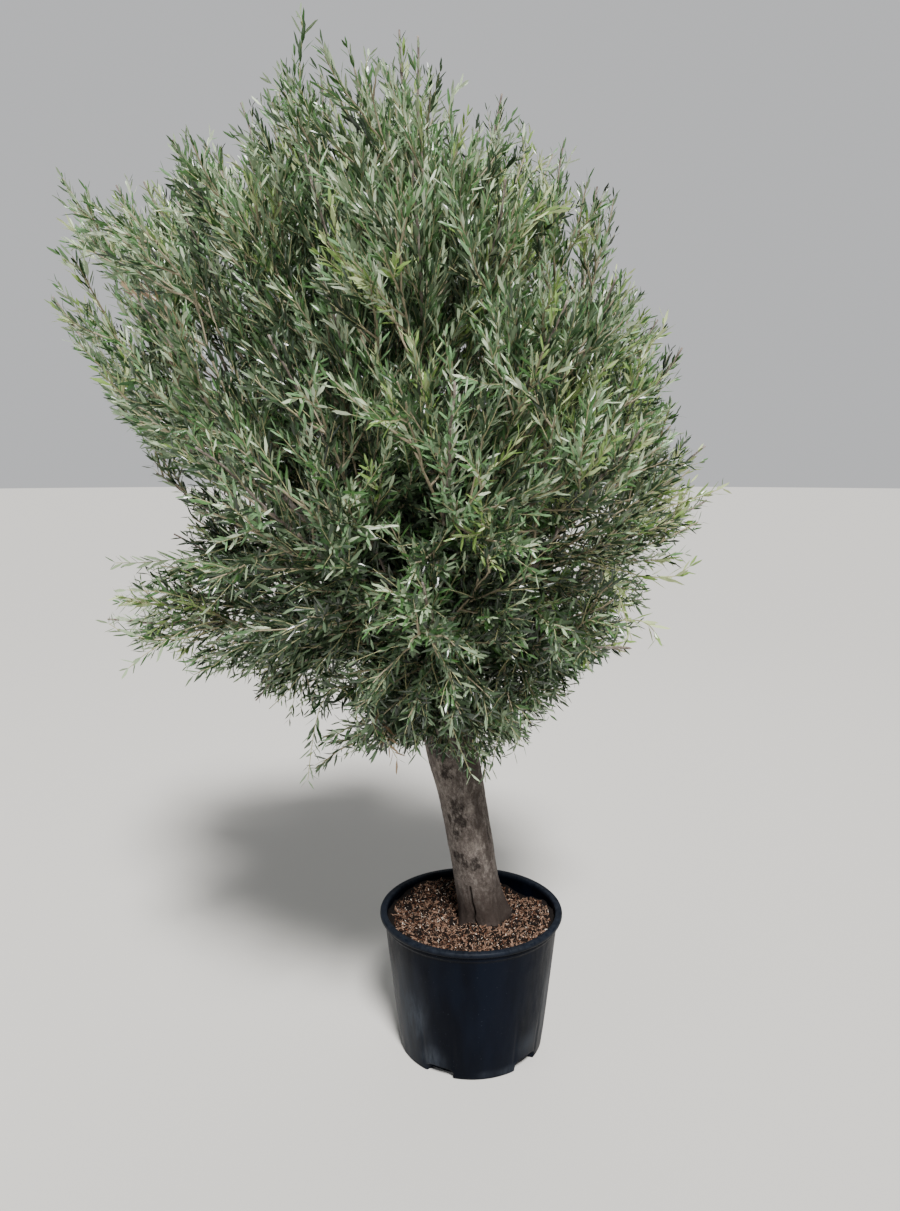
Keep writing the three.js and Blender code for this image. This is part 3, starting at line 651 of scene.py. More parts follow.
def markMask(heightNow, turns, marks, ragged):
    # one inside the marks and nought outside, with a ragged edge
    mask = np.zeros_like(ragged)
    for share, heading, halfHeight, halfWidth in marks:
        above = (heightNow - share * trunk["head"].z) / halfHeight
        aside = turnFrom(turns, math.radians(heading)) * trunk["waistGirth"] / halfWidth
        mask = np.maximum(mask, 1.25 - 0.75 * np.hypot(above, aside))
    return smooth(mask + ragged, 0.50, 0.85)


def makeTrunk(material):
    length, girth = trunk["head"].z, trunk["waistGirth"]
    shares = np.linspace(-trunk["sunk"] / length, 1, trunk["rings"])
    turns = np.linspace(0, 2 * math.pi, trunk["sides"], endpoint=False)
    # the path's frame starts on its own side vector, so headings are turned back to the world's
    side, over = trunkPath.side, trunkPath.side.cross(trunkPath.tangent(0.5))
    handed = 1 if over.dot(Vector((-side.y, side.x, 0))) > 0 else -1
    world = math.atan2(side.y, side.x) + handed * turns
    height, around = np.meshgrid(shares * length, world, indexing="ij")
    shareGrid, turnGrid = np.meshgrid(shares, turns, indexing="ij")
    flat = np.stack([np.cos(around) * girth, np.sin(around) * girth, height], axis=-1).reshape(-1, 3)

    def relief(label, folded=False):
        return layeredNoise(flat, trunk[label], folded).reshape(height.shape)

    furrow, grain, ragged = -relief("furrows", folded=True), relief("grains"), relief("ragged")
    dark = markMask(height, around, barkMarks["scaly"], 0.30 * ragged + 0.42 * relief("chafed"))
    brown = 0.6 * markMask(height, around, barkMarks["brown"], 0.25 * ragged)
    # the bark grows darker towards the foot
    footDarkening = 0.9 * (1 - smooth(height + 0.016 * ragged, 0.03, 0.17))
    # a long crack runs up from the foot to a knot
    crack, knot = barkMarks["crack"], barkMarks["knot"]
    along = np.stack([flat[:, 2]] * 3, axis=1)
    meander = crack["meander"] * softNoise(along, crack["meanderLength"], 13).reshape(height.shape)
    aside = np.abs(turnFrom(around, math.radians(crack["heading"])) * girth + meander)
    low, high = crack["low"] * length, crack["high"] * length
    reach = smooth(height, low, crack["fade"]) * smooth(-height, -high, -high + crack["fade"])
    split = np.exp(-(aside / crack["width"]) ** 2) * reach
    away = np.hypot(turnFrom(around, math.radians(knot["heading"])) * girth,
                    (height - knot["share"] * length) * knot["flatness"])
    wrinkle = np.exp(-(away / knot["size"]) ** 2) * np.cos(away / knot["ripple"])
    radii = (trunkRadius(shareGrid, turnGrid) + trunk["swelling"] * relief("swellings")
             + trunk["furrow"] * furrow + trunk["grain"] * grain
             + trunk["scale"] * (relief("scales") * dark)
             - crack["depth"] * split + knot["rise"] * wrinkle)
    points, faces = ringMesh(sweep(trunkPath, shares, radii))
    piece = meshPiece("trunkBark", points, faces, materials=[material])
    # painted shade in the deep furrows and grain of the bark, added to the dark patches
    deep = smooth(-furrow + 0.6 * grain, 0.75, 1.5) * 0.4
    for label, values in (("darkPatch", np.maximum(dark * 0.85, deep)),
                          ("brownZone", np.maximum(brown, footDarkening)),
                          ("crackShade", np.clip(split * 1.2, 0, 1))):
        addValues(piece, label, np.append(values.ravel(), (0, 0)))
    addValues(piece, "barkPlace", np.vstack([flat, np.zeros((2, 3))]), "FLOAT_VECTOR")
    finishPiece(piece, "bark", "trunk")


wood = {"sides": 14, "thinSides": 9, "thinGirth": 0.010, "ringStep": 0.010, "fewestRings": 12,
        "collar": 0.5, "collarReach": 0.035, "tipGirth": 0.0021, "relief": 0.07, "foliageTaper": 0.5,
        "bumps": [((0.012, 0.012, 0.030), 20, 1), ((0.005, 0.005, 0.012), 60, 0.6)]}


def limbGirth(limb, path, share):
    if limb["foliage"] and share < limb["foliage"]:
        girth = limb["girth"] * mix(1, wood["foliageTaper"], share / limb["foliage"])
    else:
        start = limb["girth"] * wood["foliageTaper"]
        along = (share - limb["foliage"]) / (path.end - limb["foliage"])
        girth = mix(start, wood["tipGirth"], min(along, 1) ** 0.75)
    return girth * (1 + wood["collar"] * math.exp(-share * path.reach / wood["collarReach"]))


def makeBoughs(material):
    allPoints, allFaces, barkPlaces, darks = [], [], [], []
    offset = 0
    for index, (name, limb) in enumerate(limbs.items()):
        path = paths[name]
        count = max(wood["fewestRings"], int(path.reach * path.end / wood["ringStep"]))
        shares = np.linspace(0, path.end, count)
        girths = np.array([limbGirth(limb, path, share) for share in shares])
        sides = wood["sides"] if limb["girth"] > wood["thinGirth"] else wood["thinSides"]
        turns = np.linspace(0, 2 * math.pi, sides, endpoint=False)
        along, around = np.meshgrid(shares * path.reach, turns, indexing="ij")
        flat = np.stack([np.cos(around) * girths[:, None], np.sin(around) * girths[:, None],
                         along], axis=-1).reshape(-1, 3)
        layers = [(size, seed + index, weight) for size, seed, weight in wood["bumps"]]
        bumps = layeredNoise(flat + index, layers)
        radii = girths[:, None] * (1 + wood["relief"] * bumps.reshape(along.shape))
        points, faces = ringMesh(sweep(path, shares, radii))
        allPoints.append(points)
        allFaces += [tuple(i + offset for i in face) for face in faces]
        offset += len(points)
        barkPlaces.append(np.vstack([flat + 0.37 * index, np.zeros((2, 3))]))
        darks.append(np.append(0.5 * smooth(bumps, 0.2, 1.1), (0, 0)))
    piece = meshPiece("boughBark", np.vstack(allPoints), allFaces, materials=[material])
    addValues(piece, "darkPatch", np.concatenate(darks))
    addValues(piece, "brownZone", np.zeros(offset))
    addValues(piece, "crackShade", np.zeros(offset))
    addValues(piece, "barkPlace", np.vstack(barkPlaces), "FLOAT_VECTOR")
    finishPiece(piece, "bark", *[node for node in nodes if node.startswith("bough_")])


makeTrunk(makeBarkMaterial("trunkBark", 0.94))
makeBoughs(makeBarkMaterial("boughBark", 1.35))
print("trunk and boughs ready")


growth = {
    "twigsPerMetre": 18,       # main twigs on each metre of a long limb inside its leaves
    "shortLimbDensity": 1.7,   # and so many times as many on the short limbs of the low crown
    "firstPlace": 0.85,        # they start at this share of the bare part of a bough
    "lengthAtTip": 0.72,
    "fillPerMetre": 27,        # shorter twigs on each metre of that bare part
    "fillLength": (0.18, 0.33),
    "fillLeaf": 1.3,           # leaves in the crown's inside are so much larger, to close its gaps
    "fillSlant": (45, 85),
    "leaders": (0.36, 0.60),   # side leaders leave a limb at these shares of its leafy part
    "leaderSlant": (12, 22),
    "leaderTwigs": 16,         # twigs on each metre of a side leader
    "leaderScale": 0.62,       # how long they are, beside those of the limb
    "fillLift": (-0.25, 0.45),
    "wander": 0.012,           # how far twigs kink to each side, share of their length
    "twigBend": 0.55,          # how far a twig turns towards the way its limb goes
    "edge": (0.90, 1.02),      # share of the crown's reach that a twig may come to
    "collarTwigs": 66,         # twigs round the trunk's head
    "collarLength": (0.12, 0.27),
    "collarRise": (-25, 50),
    "shootStep": 0.036,        # distance between side shoots on a twig
    "shootLength": 0.150,
    "shootAtTip": 0.45,
    "shootSlant": (18, 42),
    "shootPlaces": (0.10, 0.93),
    "shootSpread": (0.55, 1.25),
    "sameTone": 0.4,           # share of a twig's shoots that keep its tone
    "lift": (-0.45, 0.14),     # how far twigs turn down low in the crown and up in its top
    "twigGirth": 0.0025,
    "shootGirth": 0.0012,
    "leafLength": 0.0385,
    "openHeights": (1.10, 1.80),
    "lowest": 0.64,
    "boxMargin": 0.004,
    "trunkMargin": 0.006,
    "deadTwig": (Vector((-0.62, -0.35, 1.72)), 0.07),  # shoots here have rust-brown leaves
    "shorten": 0.68,           # a twig that comes too far out is shortened by this share
    "tries": 4,                # and is left out when it still does after so many
}

# each class of leaves: weight deep inside the crown, weight outside, added weight on the sunny
# right, colour of the upper side and of the underside; the dark classes inside and low in the crown
# are painted shade, and the yellow added on the sunny right is painted sunlight
leafTones = {
    "shade": (0.27, 0.02, 0, (26, 42, 23), (68, 86, 62)),
    "dusk": (0.26, 0.06, 0, (34, 56, 31), (96, 116, 88)),
    "deep": (0.22, 0.14, 0, (42, 69, 37), (122, 142, 112)),
    "olive": (0.16, 0.25, 0, (56, 90, 44), (156, 176, 142)),
    "sage": (0.05, 0.24, 0, (78, 115, 66), (180, 198, 164)),
    "silver": (0.02, 0.20, 0, (110, 148, 102), (204, 218, 190)),
    "yellow": (0, 0.11, 0.26, (122, 152, 78), (190, 204, 150)),
    "rust": (0, 0, 0, (112, 90, 66), (150, 130, 104)),
}
# where the painted light and shade fall on the crown: its dark core, the reaches and heights
# between which it brightens, and the sunny right that takes painted sunlight
paintedCrownLight = {"core": Vector((-0.2, 0, 1.45)), "coreReach": (0.36, 0.72), "axis": -0.05,
              "depthShare": 0.4, "sideReach": (0.30, 0.62), "sideWeight": 0.8,
              "heights": (1.05, 1.68), "sunnyReach": (0.0, 0.45), "sunnyHeights": (0.8, 1.3)}
strands = []


def sprayTone(place, dice):
    light = paintedCrownLight
    # painted shade: leaves near the core and low in the crown take dark classes, leaves far out and high
    # take light ones, and the sunny right takes yellow as painted sunlight
    outside = float(smooth((place - light["core"]).length, *light["coreReach"]))
    aside = math.hypot(place.x - light["axis"], light["depthShare"] * place.y)
    farOut = light["sideWeight"] * float(smooth(aside, *light["sideReach"]))
    outside *= max(farOut, float(smooth(place.z, *light["heights"])))
    sunny = float(smooth(place.x, *light["sunnyReach"]) * smooth(place.z, *light["sunnyHeights"]))
    weights = {name: mix(inside, outer, outside) + sunny * added
               for name, (inside, outer, added, _, _) in leafTones.items()}
    roll = dice.between(0, sum(weights.values()))
    for name, weight in weights.items():
        roll -= weight
        if roll <= 0:
            return name
    return "olive"


def goldenPlace(number):
    # shares of a length that never crowd, however many there are
    return (0.5 + number * rule["goldenShare"]) % 1


def openness(place):
    # leaves lie close along the plumes of the crown's top and stand wide open lower down
    return 1 - float(smooth(place.z, *growth["openHeights"]))


def outOfReach(place, limb, edge):
    low, high = cadBox
    margin = growth["boxMargin"]
    inside = all(low[i] + margin < place[i] < high[i] - margin for i in range(3))
    if not inside or place.z < growth["lowest"]:
        return True
    if (place - rule["heart"]).length > limb["reach"] or pastOutline(place, edge):
        return True
    share = (place.z - rule["foot"].z) / trunk["head"].z
    if share < 1:
        axis = trunkPath.point(share)
        gap = math.hypot(place.x - axis.x, place.y - axis.y)
        return gap < float(trunkRadius(share)) + growth["trunkMargin"]
    return False


def strand(path, girth, tone, kind, leafFrom, leafSize, steps, start=0.0, end=1.0, sparse=0.0):
    shares = [mix(start, end, i / steps) for i in range(steps + 1)]
    strands.append({
        "points": [path.point(share) for share in shares],
        "girths": [mix(girth, 0.45 * girth, i / steps) for i in range(steps + 1)],
        "along": [i / steps for i in range(steps + 1)],
        "tone": tone, "kind": kind, "leafFrom": leafFrom, "leafSize": leafSize, "sparse": sparse,
        "openness": openness(path.point(end)),
    })


def fittedPath(root, direction, along, length, lift, limb, edge, wander=0.0, seed=0):
    # a twig that bends over towards its limb's own way, its last leaf inside the crown
    lift += mix(*growth["lift"], float(smooth(root.z, 0.85, 1.5)))
    later = (direction + growth["twigBend"] * along + lift * up).normalized()
    for _ in range(growth["tries"]):
        control = root + direction * (0.45 * length)
        tip = control + later * (0.55 * length)
        if not outOfReach(tip + later * (0.75 * growth["leafLength"]), limb, edge):
            return LimbPath(root, control, tip, wander=wander, seed=seed)
        length *= growth["shorten"]
    return None


def growShoots(twig, limb, tone, dice, size, edge):
    count = int(twig.reach / growth["shootStep"] / mix(1.5, 1, limb["size"]))
    first = dice.between(0, 6.28)
    for j in range(count):
        share = mix(*growth["shootPlaces"], (j + 0.5) / count)
        slant = math.radians(dice.between(*growth["shootSlant"]))
        direction = twig.branch(share, first + j * rule["goldenTurn"], slant)
        reach = growth["shootLength"] * mix(1, growth["shootAtTip"], share)
        reach *= dice.between(*growth["shootSpread"]) * mix(0.85, 1, limb["size"])
        shoot = fittedPath(twig.point(share), direction, twig.tangent(share), reach, 0, limb, edge)
        if shoot:
            keepsTone = dice.between(0, 1) < growth["sameTone"]
            shootTone = tone if keepsTone else sprayTone(shoot.tip, dice)
            place, radius = growth["deadTwig"]
            shootTone = "rust" if (shoot.tip - place).length < radius else shootTone
            strand(shoot, growth["shootGirth"], shootTone, "young", -0.2,
                   size * dice.between(0.88, 1.08), 2)


def growTwig(root, direction, along, length, lift, limb, dice, size, leafFrom=0.3):
    edge = dice.between(*growth["edge"])
    twig = fittedPath(root, direction, along, length, lift, limb, edge, growth["wander"],
                      dice.state % 9973)
    if twig:
        tone = sprayTone(twig.tip, dice)
        strand(twig, growth["twigGirth"], tone, "grey", leafFrom, size, 5)
        growShoots(twig, limb, tone, dice, size, edge)


def growTwigs(axis, limb, dice, size, count, start, end, scale=1.0):
    # golden places along the axis and golden turns round it
    for i in range(count):
        share = mix(*rule["twigPlaces"], goldenPlace(i))
        slant = mix(rule["slantFoot"], rule["slantTip"], share)
        slant = math.radians(slant + dice.between(-rule["slantSpread"], rule["slantSpread"]))
        length = limb["spread"] * mix(1, growth["lengthAtTip"], share)
        length *= dice.between(*rule["twigSpread"])
        length += 0.85 * limb["size"] * rule["leafReach"]
        at = mix(start, end, share)
        direction = axis.branch(at, i * rule["goldenTurn"], slant)
        growTwig(axis.point(at), direction, axis.tangent(at), scale * length, limb["lift"], limb,
                 dice, size)


def growMass(index, name):
    limb, stem = limbs[name], paths[name]
    dice = Dice(rule["growthSeed"] + rule["seedStep"] * index)
    size = growth["leafLength"] * mix(0.80, 1, limb["size"])
    start = growth["firstPlace"] * limb["foliage"]
    end = stem.end - 0.6 * size / stem.reach
    short = 1 - float(smooth(limb["reach"], 0.55, 1.15))
    dense = growth["twigsPerMetre"] * mix(1, growth["shortLimbDensity"], short)
    growTwigs(stem, limb, dice, size, int(dense * (1 - start) * stem.reach), start, 1)
    # shorter twigs fill the crown's inside along the bare part of the bough
    for i in range(int(growth["fillPerMetre"] * start * stem.reach)):
        at = mix(0.10, 1, goldenPlace(i)) * start
        slant = math.radians(dice.between(*growth["fillSlant"]))
        direction = stem.branch(at, i * rule["goldenTurn"] + index, slant)
        growTwig(stem.point(at), direction, stem.tangent(at), dice.between(*growth["fillLength"]),
                 dice.between(*growth["fillLift"]), limb, dice, growth["fillLeaf"] * size, 0.2)
    # side leaders run on beside the stem to the crown's edge
    if limb["foliage"]:
        for j, place in enumerate(growth["leaders"]):
            at = mix(limb["foliage"], 1, place)
            slant = math.radians(dice.between(*growth["leaderSlant"]))
            direction = stem.branch(at, (j + 0.4 * index) * rule["goldenTurn"], slant)
            length = (stem.end - at) * stem.reach * dice.between(0.85, 1.05)
            leader = fittedPath(stem.point(at), direction, direction, length,
                                0.5 * limb["lift"], limb, 1.02, growth["wander"], index + j)
            if leader:
                tone = sprayTone(leader.tip, dice)
                strand(leader, 1.5 * growth["twigGirth"], tone, "grey", 0.35, size, 9)
                growTwigs(leader, limb, dice, size, int(growth["leaderTwigs"] * leader.reach),
                          0.2, 1, growth["leaderScale"])
    # the stem's own end carries leaves too, up to the limb's full reach
    tone = sprayTone(stem.point(end), dice)
    strand(stem, wood["tipGirth"], tone, "young", 0.0, size, 8, 0.70 if limb["foliage"] else 0.25,
           end)
    tipPart = LimbPath(stem.point(0.7), stem.point(0.85), stem.point(end))
    growShoots(tipPart, limb, tone, dice, size, 1.03)


def growCollar():
    # twigs that break from the trunk's head and hide the fork
    dice = Dice(rule["growthSeed"])
    limb = dict(limbs["front_low"], reach=0.42, lift=0.0)
    for i in range(growth["collarTwigs"]):
        at = mix(0.80, 1.0, goldenPlace(i))
        heading = math.degrees(i * rule["goldenTurn"])
        out = polar(heading, 0, 0.8 * float(trunkRadius(min(at, 0.97))))
        direction = polar(heading, dice.between(*growth["collarRise"]), 1)
        growTwig(trunkPath.point(at) + out, direction, direction,
                 dice.between(*growth["collarLength"]), dice.between(-0.2, 0.2), limb, dice,
                 0.9 * growth["leafLength"], 0.15)


# sides and colour of the twigs
twigBarks = {"grey": (4, colour(160, 148, 124)), "young": (3, colour(178, 176, 132))}
# single shoots that hang below the crown or stand out from it: the place each bows over, its tip,
# tone, start of its leaves and the share of leaf pairs it lacks; the yellow on the shoots out to the
# right is painted sunlight
singleShoots = {
    "longLeft": ((-0.31, -0.20, 0.95), (-0.355, -0.26, 0.766), "deep", 0.35, 0.1),
    "paleLeft": ((-0.245, -0.26, 1.05), (-0.20, -0.32, 0.88), "sage", 0.70, 0.0),
    "reddish": ((-0.21, -0.27, 0.965), (-0.16, -0.30, 0.828), "rust", 0.60, 0.0),
    "leafyLeft": ((-0.24, -0.20, 1.00), (-0.25, -0.24, 0.84), "olive", 0.40, 0.2),
    "beforeTrunk": ((-0.15, -0.24, 1.00), (-0.12, -0.27, 0.83), "olive", 0.82, 0.2),
    "longBeforeTrunk": ((-0.08, -0.26, 0.99), (-0.01, -0.26, 0.78), "sage", 0.78, 0.0),
    "shortBeforeTrunk": ((-0.03, -0.26, 1.01), (0.01, -0.30, 0.92), "olive", 0.60, 0.2),
    "besideTrunk": ((0.09, -0.16, 0.98), (0.04, -0.16, 0.76), "deep", 0.40, 0.2),
    "outerRight": ((0.13, -0.10, 0.96), (0.09, -0.14, 0.79), "olive", 0.40, 0.2),
    "shortRight": ((0.05, -0.20, 0.95), (0.10, -0.26, 0.85), "sage", 0.40, 0.2),
    "atTrunk": ((0.01, -0.10, 0.83), (0.03, -0.12, 0.71), "deep", 0.35, 0.2),
    "farLeft": ((-0.615, -0.18, 1.08), (-0.73, -0.24, 1.005), "olive", 0.45, 0.0),
    "farLeftHigh": ((-0.63, -0.16, 1.143), (-0.74, -0.20, 1.168), "sage", 0.40, 0.0),
    "plumeHigh": ((-0.565, -0.14, 1.242), (-0.775, -0.16, 1.22), "olive", 0.45, 0.0),
    "plumeLow": ((-0.665, -0.20, 1.058), (-0.775, -0.22, 1.098), "olive", 0.45, 0.0),
    "lowLeft": ((-0.537, -0.20, 1.025), (-0.60, -0.22, 0.985), "deep", 0.35, 0.1),
    "shortLeft": ((-0.36, -0.14, 1.00), (-0.45, -0.18, 0.90), "deep", 0.40, 0.1),
    "tallLeft": ((-0.357, -0.10, 2.20), (-0.358, -0.10, 2.33), "olive", 0.30, 0.0),
    "tallMiddle": ((-0.218, -0.15, 2.13), (-0.216, -0.15, 2.24), "sage", 0.30, 0.0),
    "tallRight": ((-0.048, -0.10, 2.10), (-0.032, -0.10, 2.20), "sage", 0.30, 0.0),
    "tallFarLeft": ((-0.541, -0.12, 1.97), (-0.547, -0.12, 2.09), "silver", 0.30, 0.0),
    "outRight": ((0.33, -0.30, 1.21), (0.43, -0.30, 1.225), "yellow", 0.40, 0.0),
    "outRightLow": ((0.31, -0.30, 1.12), (0.365, -0.30, 1.08), "yellow", 0.40, 0.0),
    "outRightHigh": ((0.357, -0.10, 1.67), (0.406, -0.10, 1.736), "yellow", 0.40, 0.0),
    "tipRight": ((0.464, -0.15, 1.355), (0.532, -0.15, 1.383), "yellow", 0.40, 0.0),
    "underRight": ((0.22, -0.26, 1.14), (0.22, -0.32, 1.03), "yellow", 0.60, 0.3),
    "farRight": ((0.25, -0.30, 1.24), (0.30, -0.38, 1.09), "yellow", 0.40, 0.2),
}


def growSingleShoots():
    # each leaves the nearest limb and bows over its given place to its tip
    limbPlaces = [path.point(share) for path in paths.values() for share in np.linspace(0.1, 0.8, 15)]
    for over, tip, tone, leafFrom, sparse in singleShoots.values():
        over, tip = Vector(over), Vector(tip)
        root = min(limbPlaces, key=lambda place: (place - over).length)
        shoot = LimbPath(root, 2 * over - 0.5 * (root + tip), tip, wander=0.008, seed=len(strands))
        strand(shoot, 1.7 * growth["shootGirth"], tone, "young", leafFrom,
               1.15 * growth["leafLength"], 10, sparse=sparse)


for index, name in enumerate(limbs):
    growMass(index, name)
growCollar()
growSingleShoots()
print("twigs and shoots:", len(strands))


leaf = {
    "spacing": 0.0168,     # between two pairs along a shoot
    "width": 0.185,        # share of the length
    "crown": 0.022,        # how far the midrib stands up, share of the length
    "tilt": (12, 36),      # from the shoot, degrees
    "openTilt": 14,        # added low in the crown
    "twist": 24,
    "jitter": 26,
    "sizes": (0.80, 1.14),
    "least": 0.004,        # shorter leaves are left out
    # name, how far the tip hooks over, fold along the midrib, and the side that the tip leans to
    "shapes": [("leafStraight", 0.02, 0.0, 1), ("leafHooked", 0.14, 0.0, -1),
               ("leafFolded", -0.06, 0.045, 1)],
}


def leafShape(name, hook, fold, side):
    # a lance-shaped leaf of length 1 along +Z, its upper side towards -X
    half = side * leaf["width"] / 2
    outline = [(0, 0), (half, 0.32), (0.80 * half, 0.83), (-0.10 * half, 1), (-half, 0.52)]
    points = [(hook * along * along, across, along) for across, along in outline]
    points.append((hook * 0.25 - leaf["crown"] + fold, 0, 0.5))
    top = [(i, (i + 1) % 5, 5) for i in range(5)]
    under = [(0, 4, 1), (4, 2, 1), (4, 3, 2)]
    faces = [face if side > 0 else face[::-1] for face in top + under]
    piece = meshPiece(name, points, faces, smoothFaces=False)
    layer = piece.data.attributes.new("upper", "BOOLEAN", "FACE")
    layer.data.foreach_set("value", [True] * len(top) + [False] * len(under))
    return piece


def namedValue(tree, label):
    return put(tree, "GeometryNodeInputNamedAttribute", {"Name": label},
               data_type="FLOAT").outputs["Attribute"]


def spin(tree, rotation, axis, angle):
    turn = put(tree, "FunctionNodeAxisAngleToRotation", {"Axis": axis, "Angle": angle}).outputs[0]
    return put(tree, "FunctionNodeRotateRotation", {"Rotation": rotation, "Rotate By": turn},
               rotation_space="LOCAL").outputs[0]


def chanceValue(tree, low, high, seed):
    return put(tree, "FunctionNodeRandomValue", {"Min": low, "Max": high, "Seed": seed},
               data_type="FLOAT").outputs["Value"]


def eitherWay(tree, most, seed):
    return chanceValue(tree, times(tree, most, -1.0), most, seed)


def lessThan(tree, first, second):
    return put(tree, "FunctionNodeCompare", {0: first, 1: second}, data_type="FLOAT",
               operation="LESS_THAN").outputs["Result"]


def toCurve(tree, mesh):
    return put(tree, "GeometryNodeMeshToCurve", {"Mesh": mesh}).outputs["Curve"]


def scatter(tree, points, shapes, count, seed, rotation, size):
    # one of the shapes on each point, picked by chance
    info = put(tree, "GeometryNodeCollectionInfo", {
        "Collection": shapes, "Separate Children": True, "Reset Children": True})
    pick = put(tree, "FunctionNodeRandomValue", {4: 0, 5: count - 1, "Seed": seed}, data_type="INT")
    return put(tree, "GeometryNodeInstanceOnPoints", {
        "Points": points, "Instance": info.outputs[0], "Pick Instance": True, "Rotation": rotation,
        "Scale": size, "Instance Index": pick.outputs[2]}).outputs[0]


def realMesh(tree, geometry):
    return put(tree, "GeometryNodeRealizeInstances", {"Geometry": geometry}).outputs[0]


def setFinish(tree, geometry, material, chosen=True):
    return put(tree, "GeometryNodeSetMaterial", {"Geometry": geometry, "Selection": chosen,
                                                 "Material": material}).outputs[0]


def leafTree():
    tree, given, result = newTree("leafPairs", [
        ("Leaf shapes", "Collection", None), ("Spacing", "Float", 0.018),
        ("Lowest tilt", "Float", 0.3), ("Highest tilt", "Float", 0.9), ("Open tilt", "Float", 0.3),
        ("Twist", "Float", 0.4), ("Jitter", "Float", 0.4), ("Seed", "Int", 7),
        ("Upper side", "Material", None), ("Underside", "Material", None)])
    spots = put(tree, "GeometryNodeCurveToPoints", {
        "Curve": toCurve(tree, given["Geometry"]), "Length": given["Spacing"]}, mode="LENGTH")
    bare = lessThan(tree, namedValue(tree, "leafSize"), leaf["least"])
    missing = lessThan(tree, chanceValue(tree, 0.0, 1.0, 5), namedValue(tree, "sparse"))
    dropped = put(tree, "FunctionNodeBooleanMath", {0: bare, 1: missing}, operation="OR").outputs[0]
    kept = put(tree, "GeometryNodeDeleteGeometry", {"Geometry": spots.outputs["Points"],
                                                    "Selection": dropped}, domain="POINT").outputs[0]
    # each pair stands square to the last one
    index = put(tree, "GeometryNodeInputIndex").outputs[0]
    square = times(tree, calculate(tree, "MODULO", index, 2.0), math.pi / 2)
    join = put(tree, "GeometryNodeJoinGeometry")
    for side in (0, 1):
        seed = plus(tree, given["Seed"], 10.0 * side)
        around = plus(tree, plus(tree, square, math.pi * side), eitherWay(tree, given["Jitter"], seed))
        turned = spin(tree, spots.outputs["Rotation"], (0, 0, 1), around)
        tilt = chanceValue(tree, given["Lowest tilt"], given["Highest tilt"], plus(tree, seed, 1.0))
        wider = times(tree, given["Open tilt"], namedValue(tree, "openness"))
        turned = spin(tree, turned, (0, 1, 0), plus(tree, tilt, wider))
        turned = spin(tree, turned, (0, 0, 1), eitherWay(tree, given["Twist"], plus(tree, seed, 2.0)))
        size = times(tree, namedValue(tree, "leafSize"),
                     chanceValue(tree, *leaf["sizes"], plus(tree, seed, 3.0)))
        placed = scatter(tree, kept, given["Leaf shapes"], len(leaf["shapes"]),
                         plus(tree, seed, 4.0), turned, size)
        tree.links.new(placed, join.inputs[0])
    real = realMesh(tree, join.outputs[0])
    upper = put(tree, "GeometryNodeInputNamedAttribute", {"Name": "upper"},
                data_type="BOOLEAN").outputs["Attribute"]
    under = put(tree, "FunctionNodeBooleanMath", {0: upper}, operation="NOT").outputs[0]
    real = setFinish(tree, real, given["Upper side"], upper)
    tree.links.new(setFinish(tree, real, given["Underside"], under), result[0])
    return tree


def twigTree():
    tree, given, result = newTree("twigTubes", [("Sides", "Int", 4), ("Bark", "Material", None)])
    ring = put(tree, "GeometryNodeCurvePrimitiveCircle", {"Resolution": given["Sides"],
                                                          "Radius": 1.0}, mode="RADIUS").outputs[0]
    tube = put(tree, "GeometryNodeCurveToMesh", {
        "Curve": toCurve(tree, given["Geometry"]), "Profile Curve": ring,
        "Scale": namedValue(tree, "girth"), "Fill Caps": True}).outputs[0]
    tree.links.new(setFinish(tree, realMesh(tree, tube), given["Bark"]), result[0])
    return tree


def strandObject(name, chosen):
    points, edges = [], []
    values = {"girth": [], "leafSize": [], "openness": [], "sparse": []}
    for each in chosen:
        base, count = len(points), len(each["points"])
        points += each["points"]
        edges += [(base + i, base + i + 1) for i in range(count - 1)]
        values["girth"] += each["girths"]
        values["openness"] += [each["openness"]] * count
        values["sparse"] += [each["sparse"]] * count
        for share in each["along"]:
            # none on the bare foot, full size in the middle, smaller towards the tip
            grown = float(smooth(share, each["leafFrom"] - 0.08, each["leafFrom"] + 0.12))
            grown *= mix(1, 0.70, float(smooth(share, 0.72, 1.0)))
            values["leafSize"].append(each["leafSize"] * grown)
    piece = meshPiece(name, points, edges=edges, smoothFaces=False)
    for label, row in values.items():
        addValues(piece, label, row)
    return piece


def makeFoliage():
    foliageNodes = [node for node in nodes if node.startswith("foliage_")]
    shapes = [leafShape(*row) for row in leaf["shapes"]]
    holder = shapeCollection("leafShapes", shapes)
    tree = leafTree()
    for number, (name, (_, _, _, topTone, underTone)) in enumerate(leafTones.items()):
        upper, _, _ = newMaterial(name + "Upper", colour(*topTone), 0.28, 0.8)
        under, _, _ = newMaterial(name + "Under", colour(*underTone), 0.65, 0.25)
        source = strandObject(name + "Shoots", [s for s in strands if s["tone"] == name])
        piece = grow("leaves_" + name, source, tree, {
            "Leaf shapes": holder, "Spacing": leaf["spacing"], "Seed": 40 * number + 7,
            "Lowest tilt": math.radians(leaf["tilt"][0]),
            "Highest tilt": math.radians(leaf["tilt"][1]),
            "Open tilt": math.radians(leaf["openTilt"]),
            "Twist": math.radians(leaf["twist"]), "Jitter": math.radians(leaf["jitter"]),
            "Upper side": upper, "Underside": under})
        discard(source)
        finishPiece(piece, "foliage", *foliageNodes)
    discard(*shapes)
    bpy.data.collections.remove(holder)
    tubes = twigTree()
    for kind, (sides, tone) in twigBarks.items():
        material, _, _ = newMaterial(kind + "Twig", tone, 0.7)
        source = strandObject(kind + "Strands", [s for s in strands if s["kind"] == kind])
        piece = grow("twigs_" + kind, source, tubes, {"Sides": sides, "Bark": material})
        discard(source)
        finishPiece(piece, "foliage", *foliageNodes)


makeFoliage()
print("leaves and twigs ready")


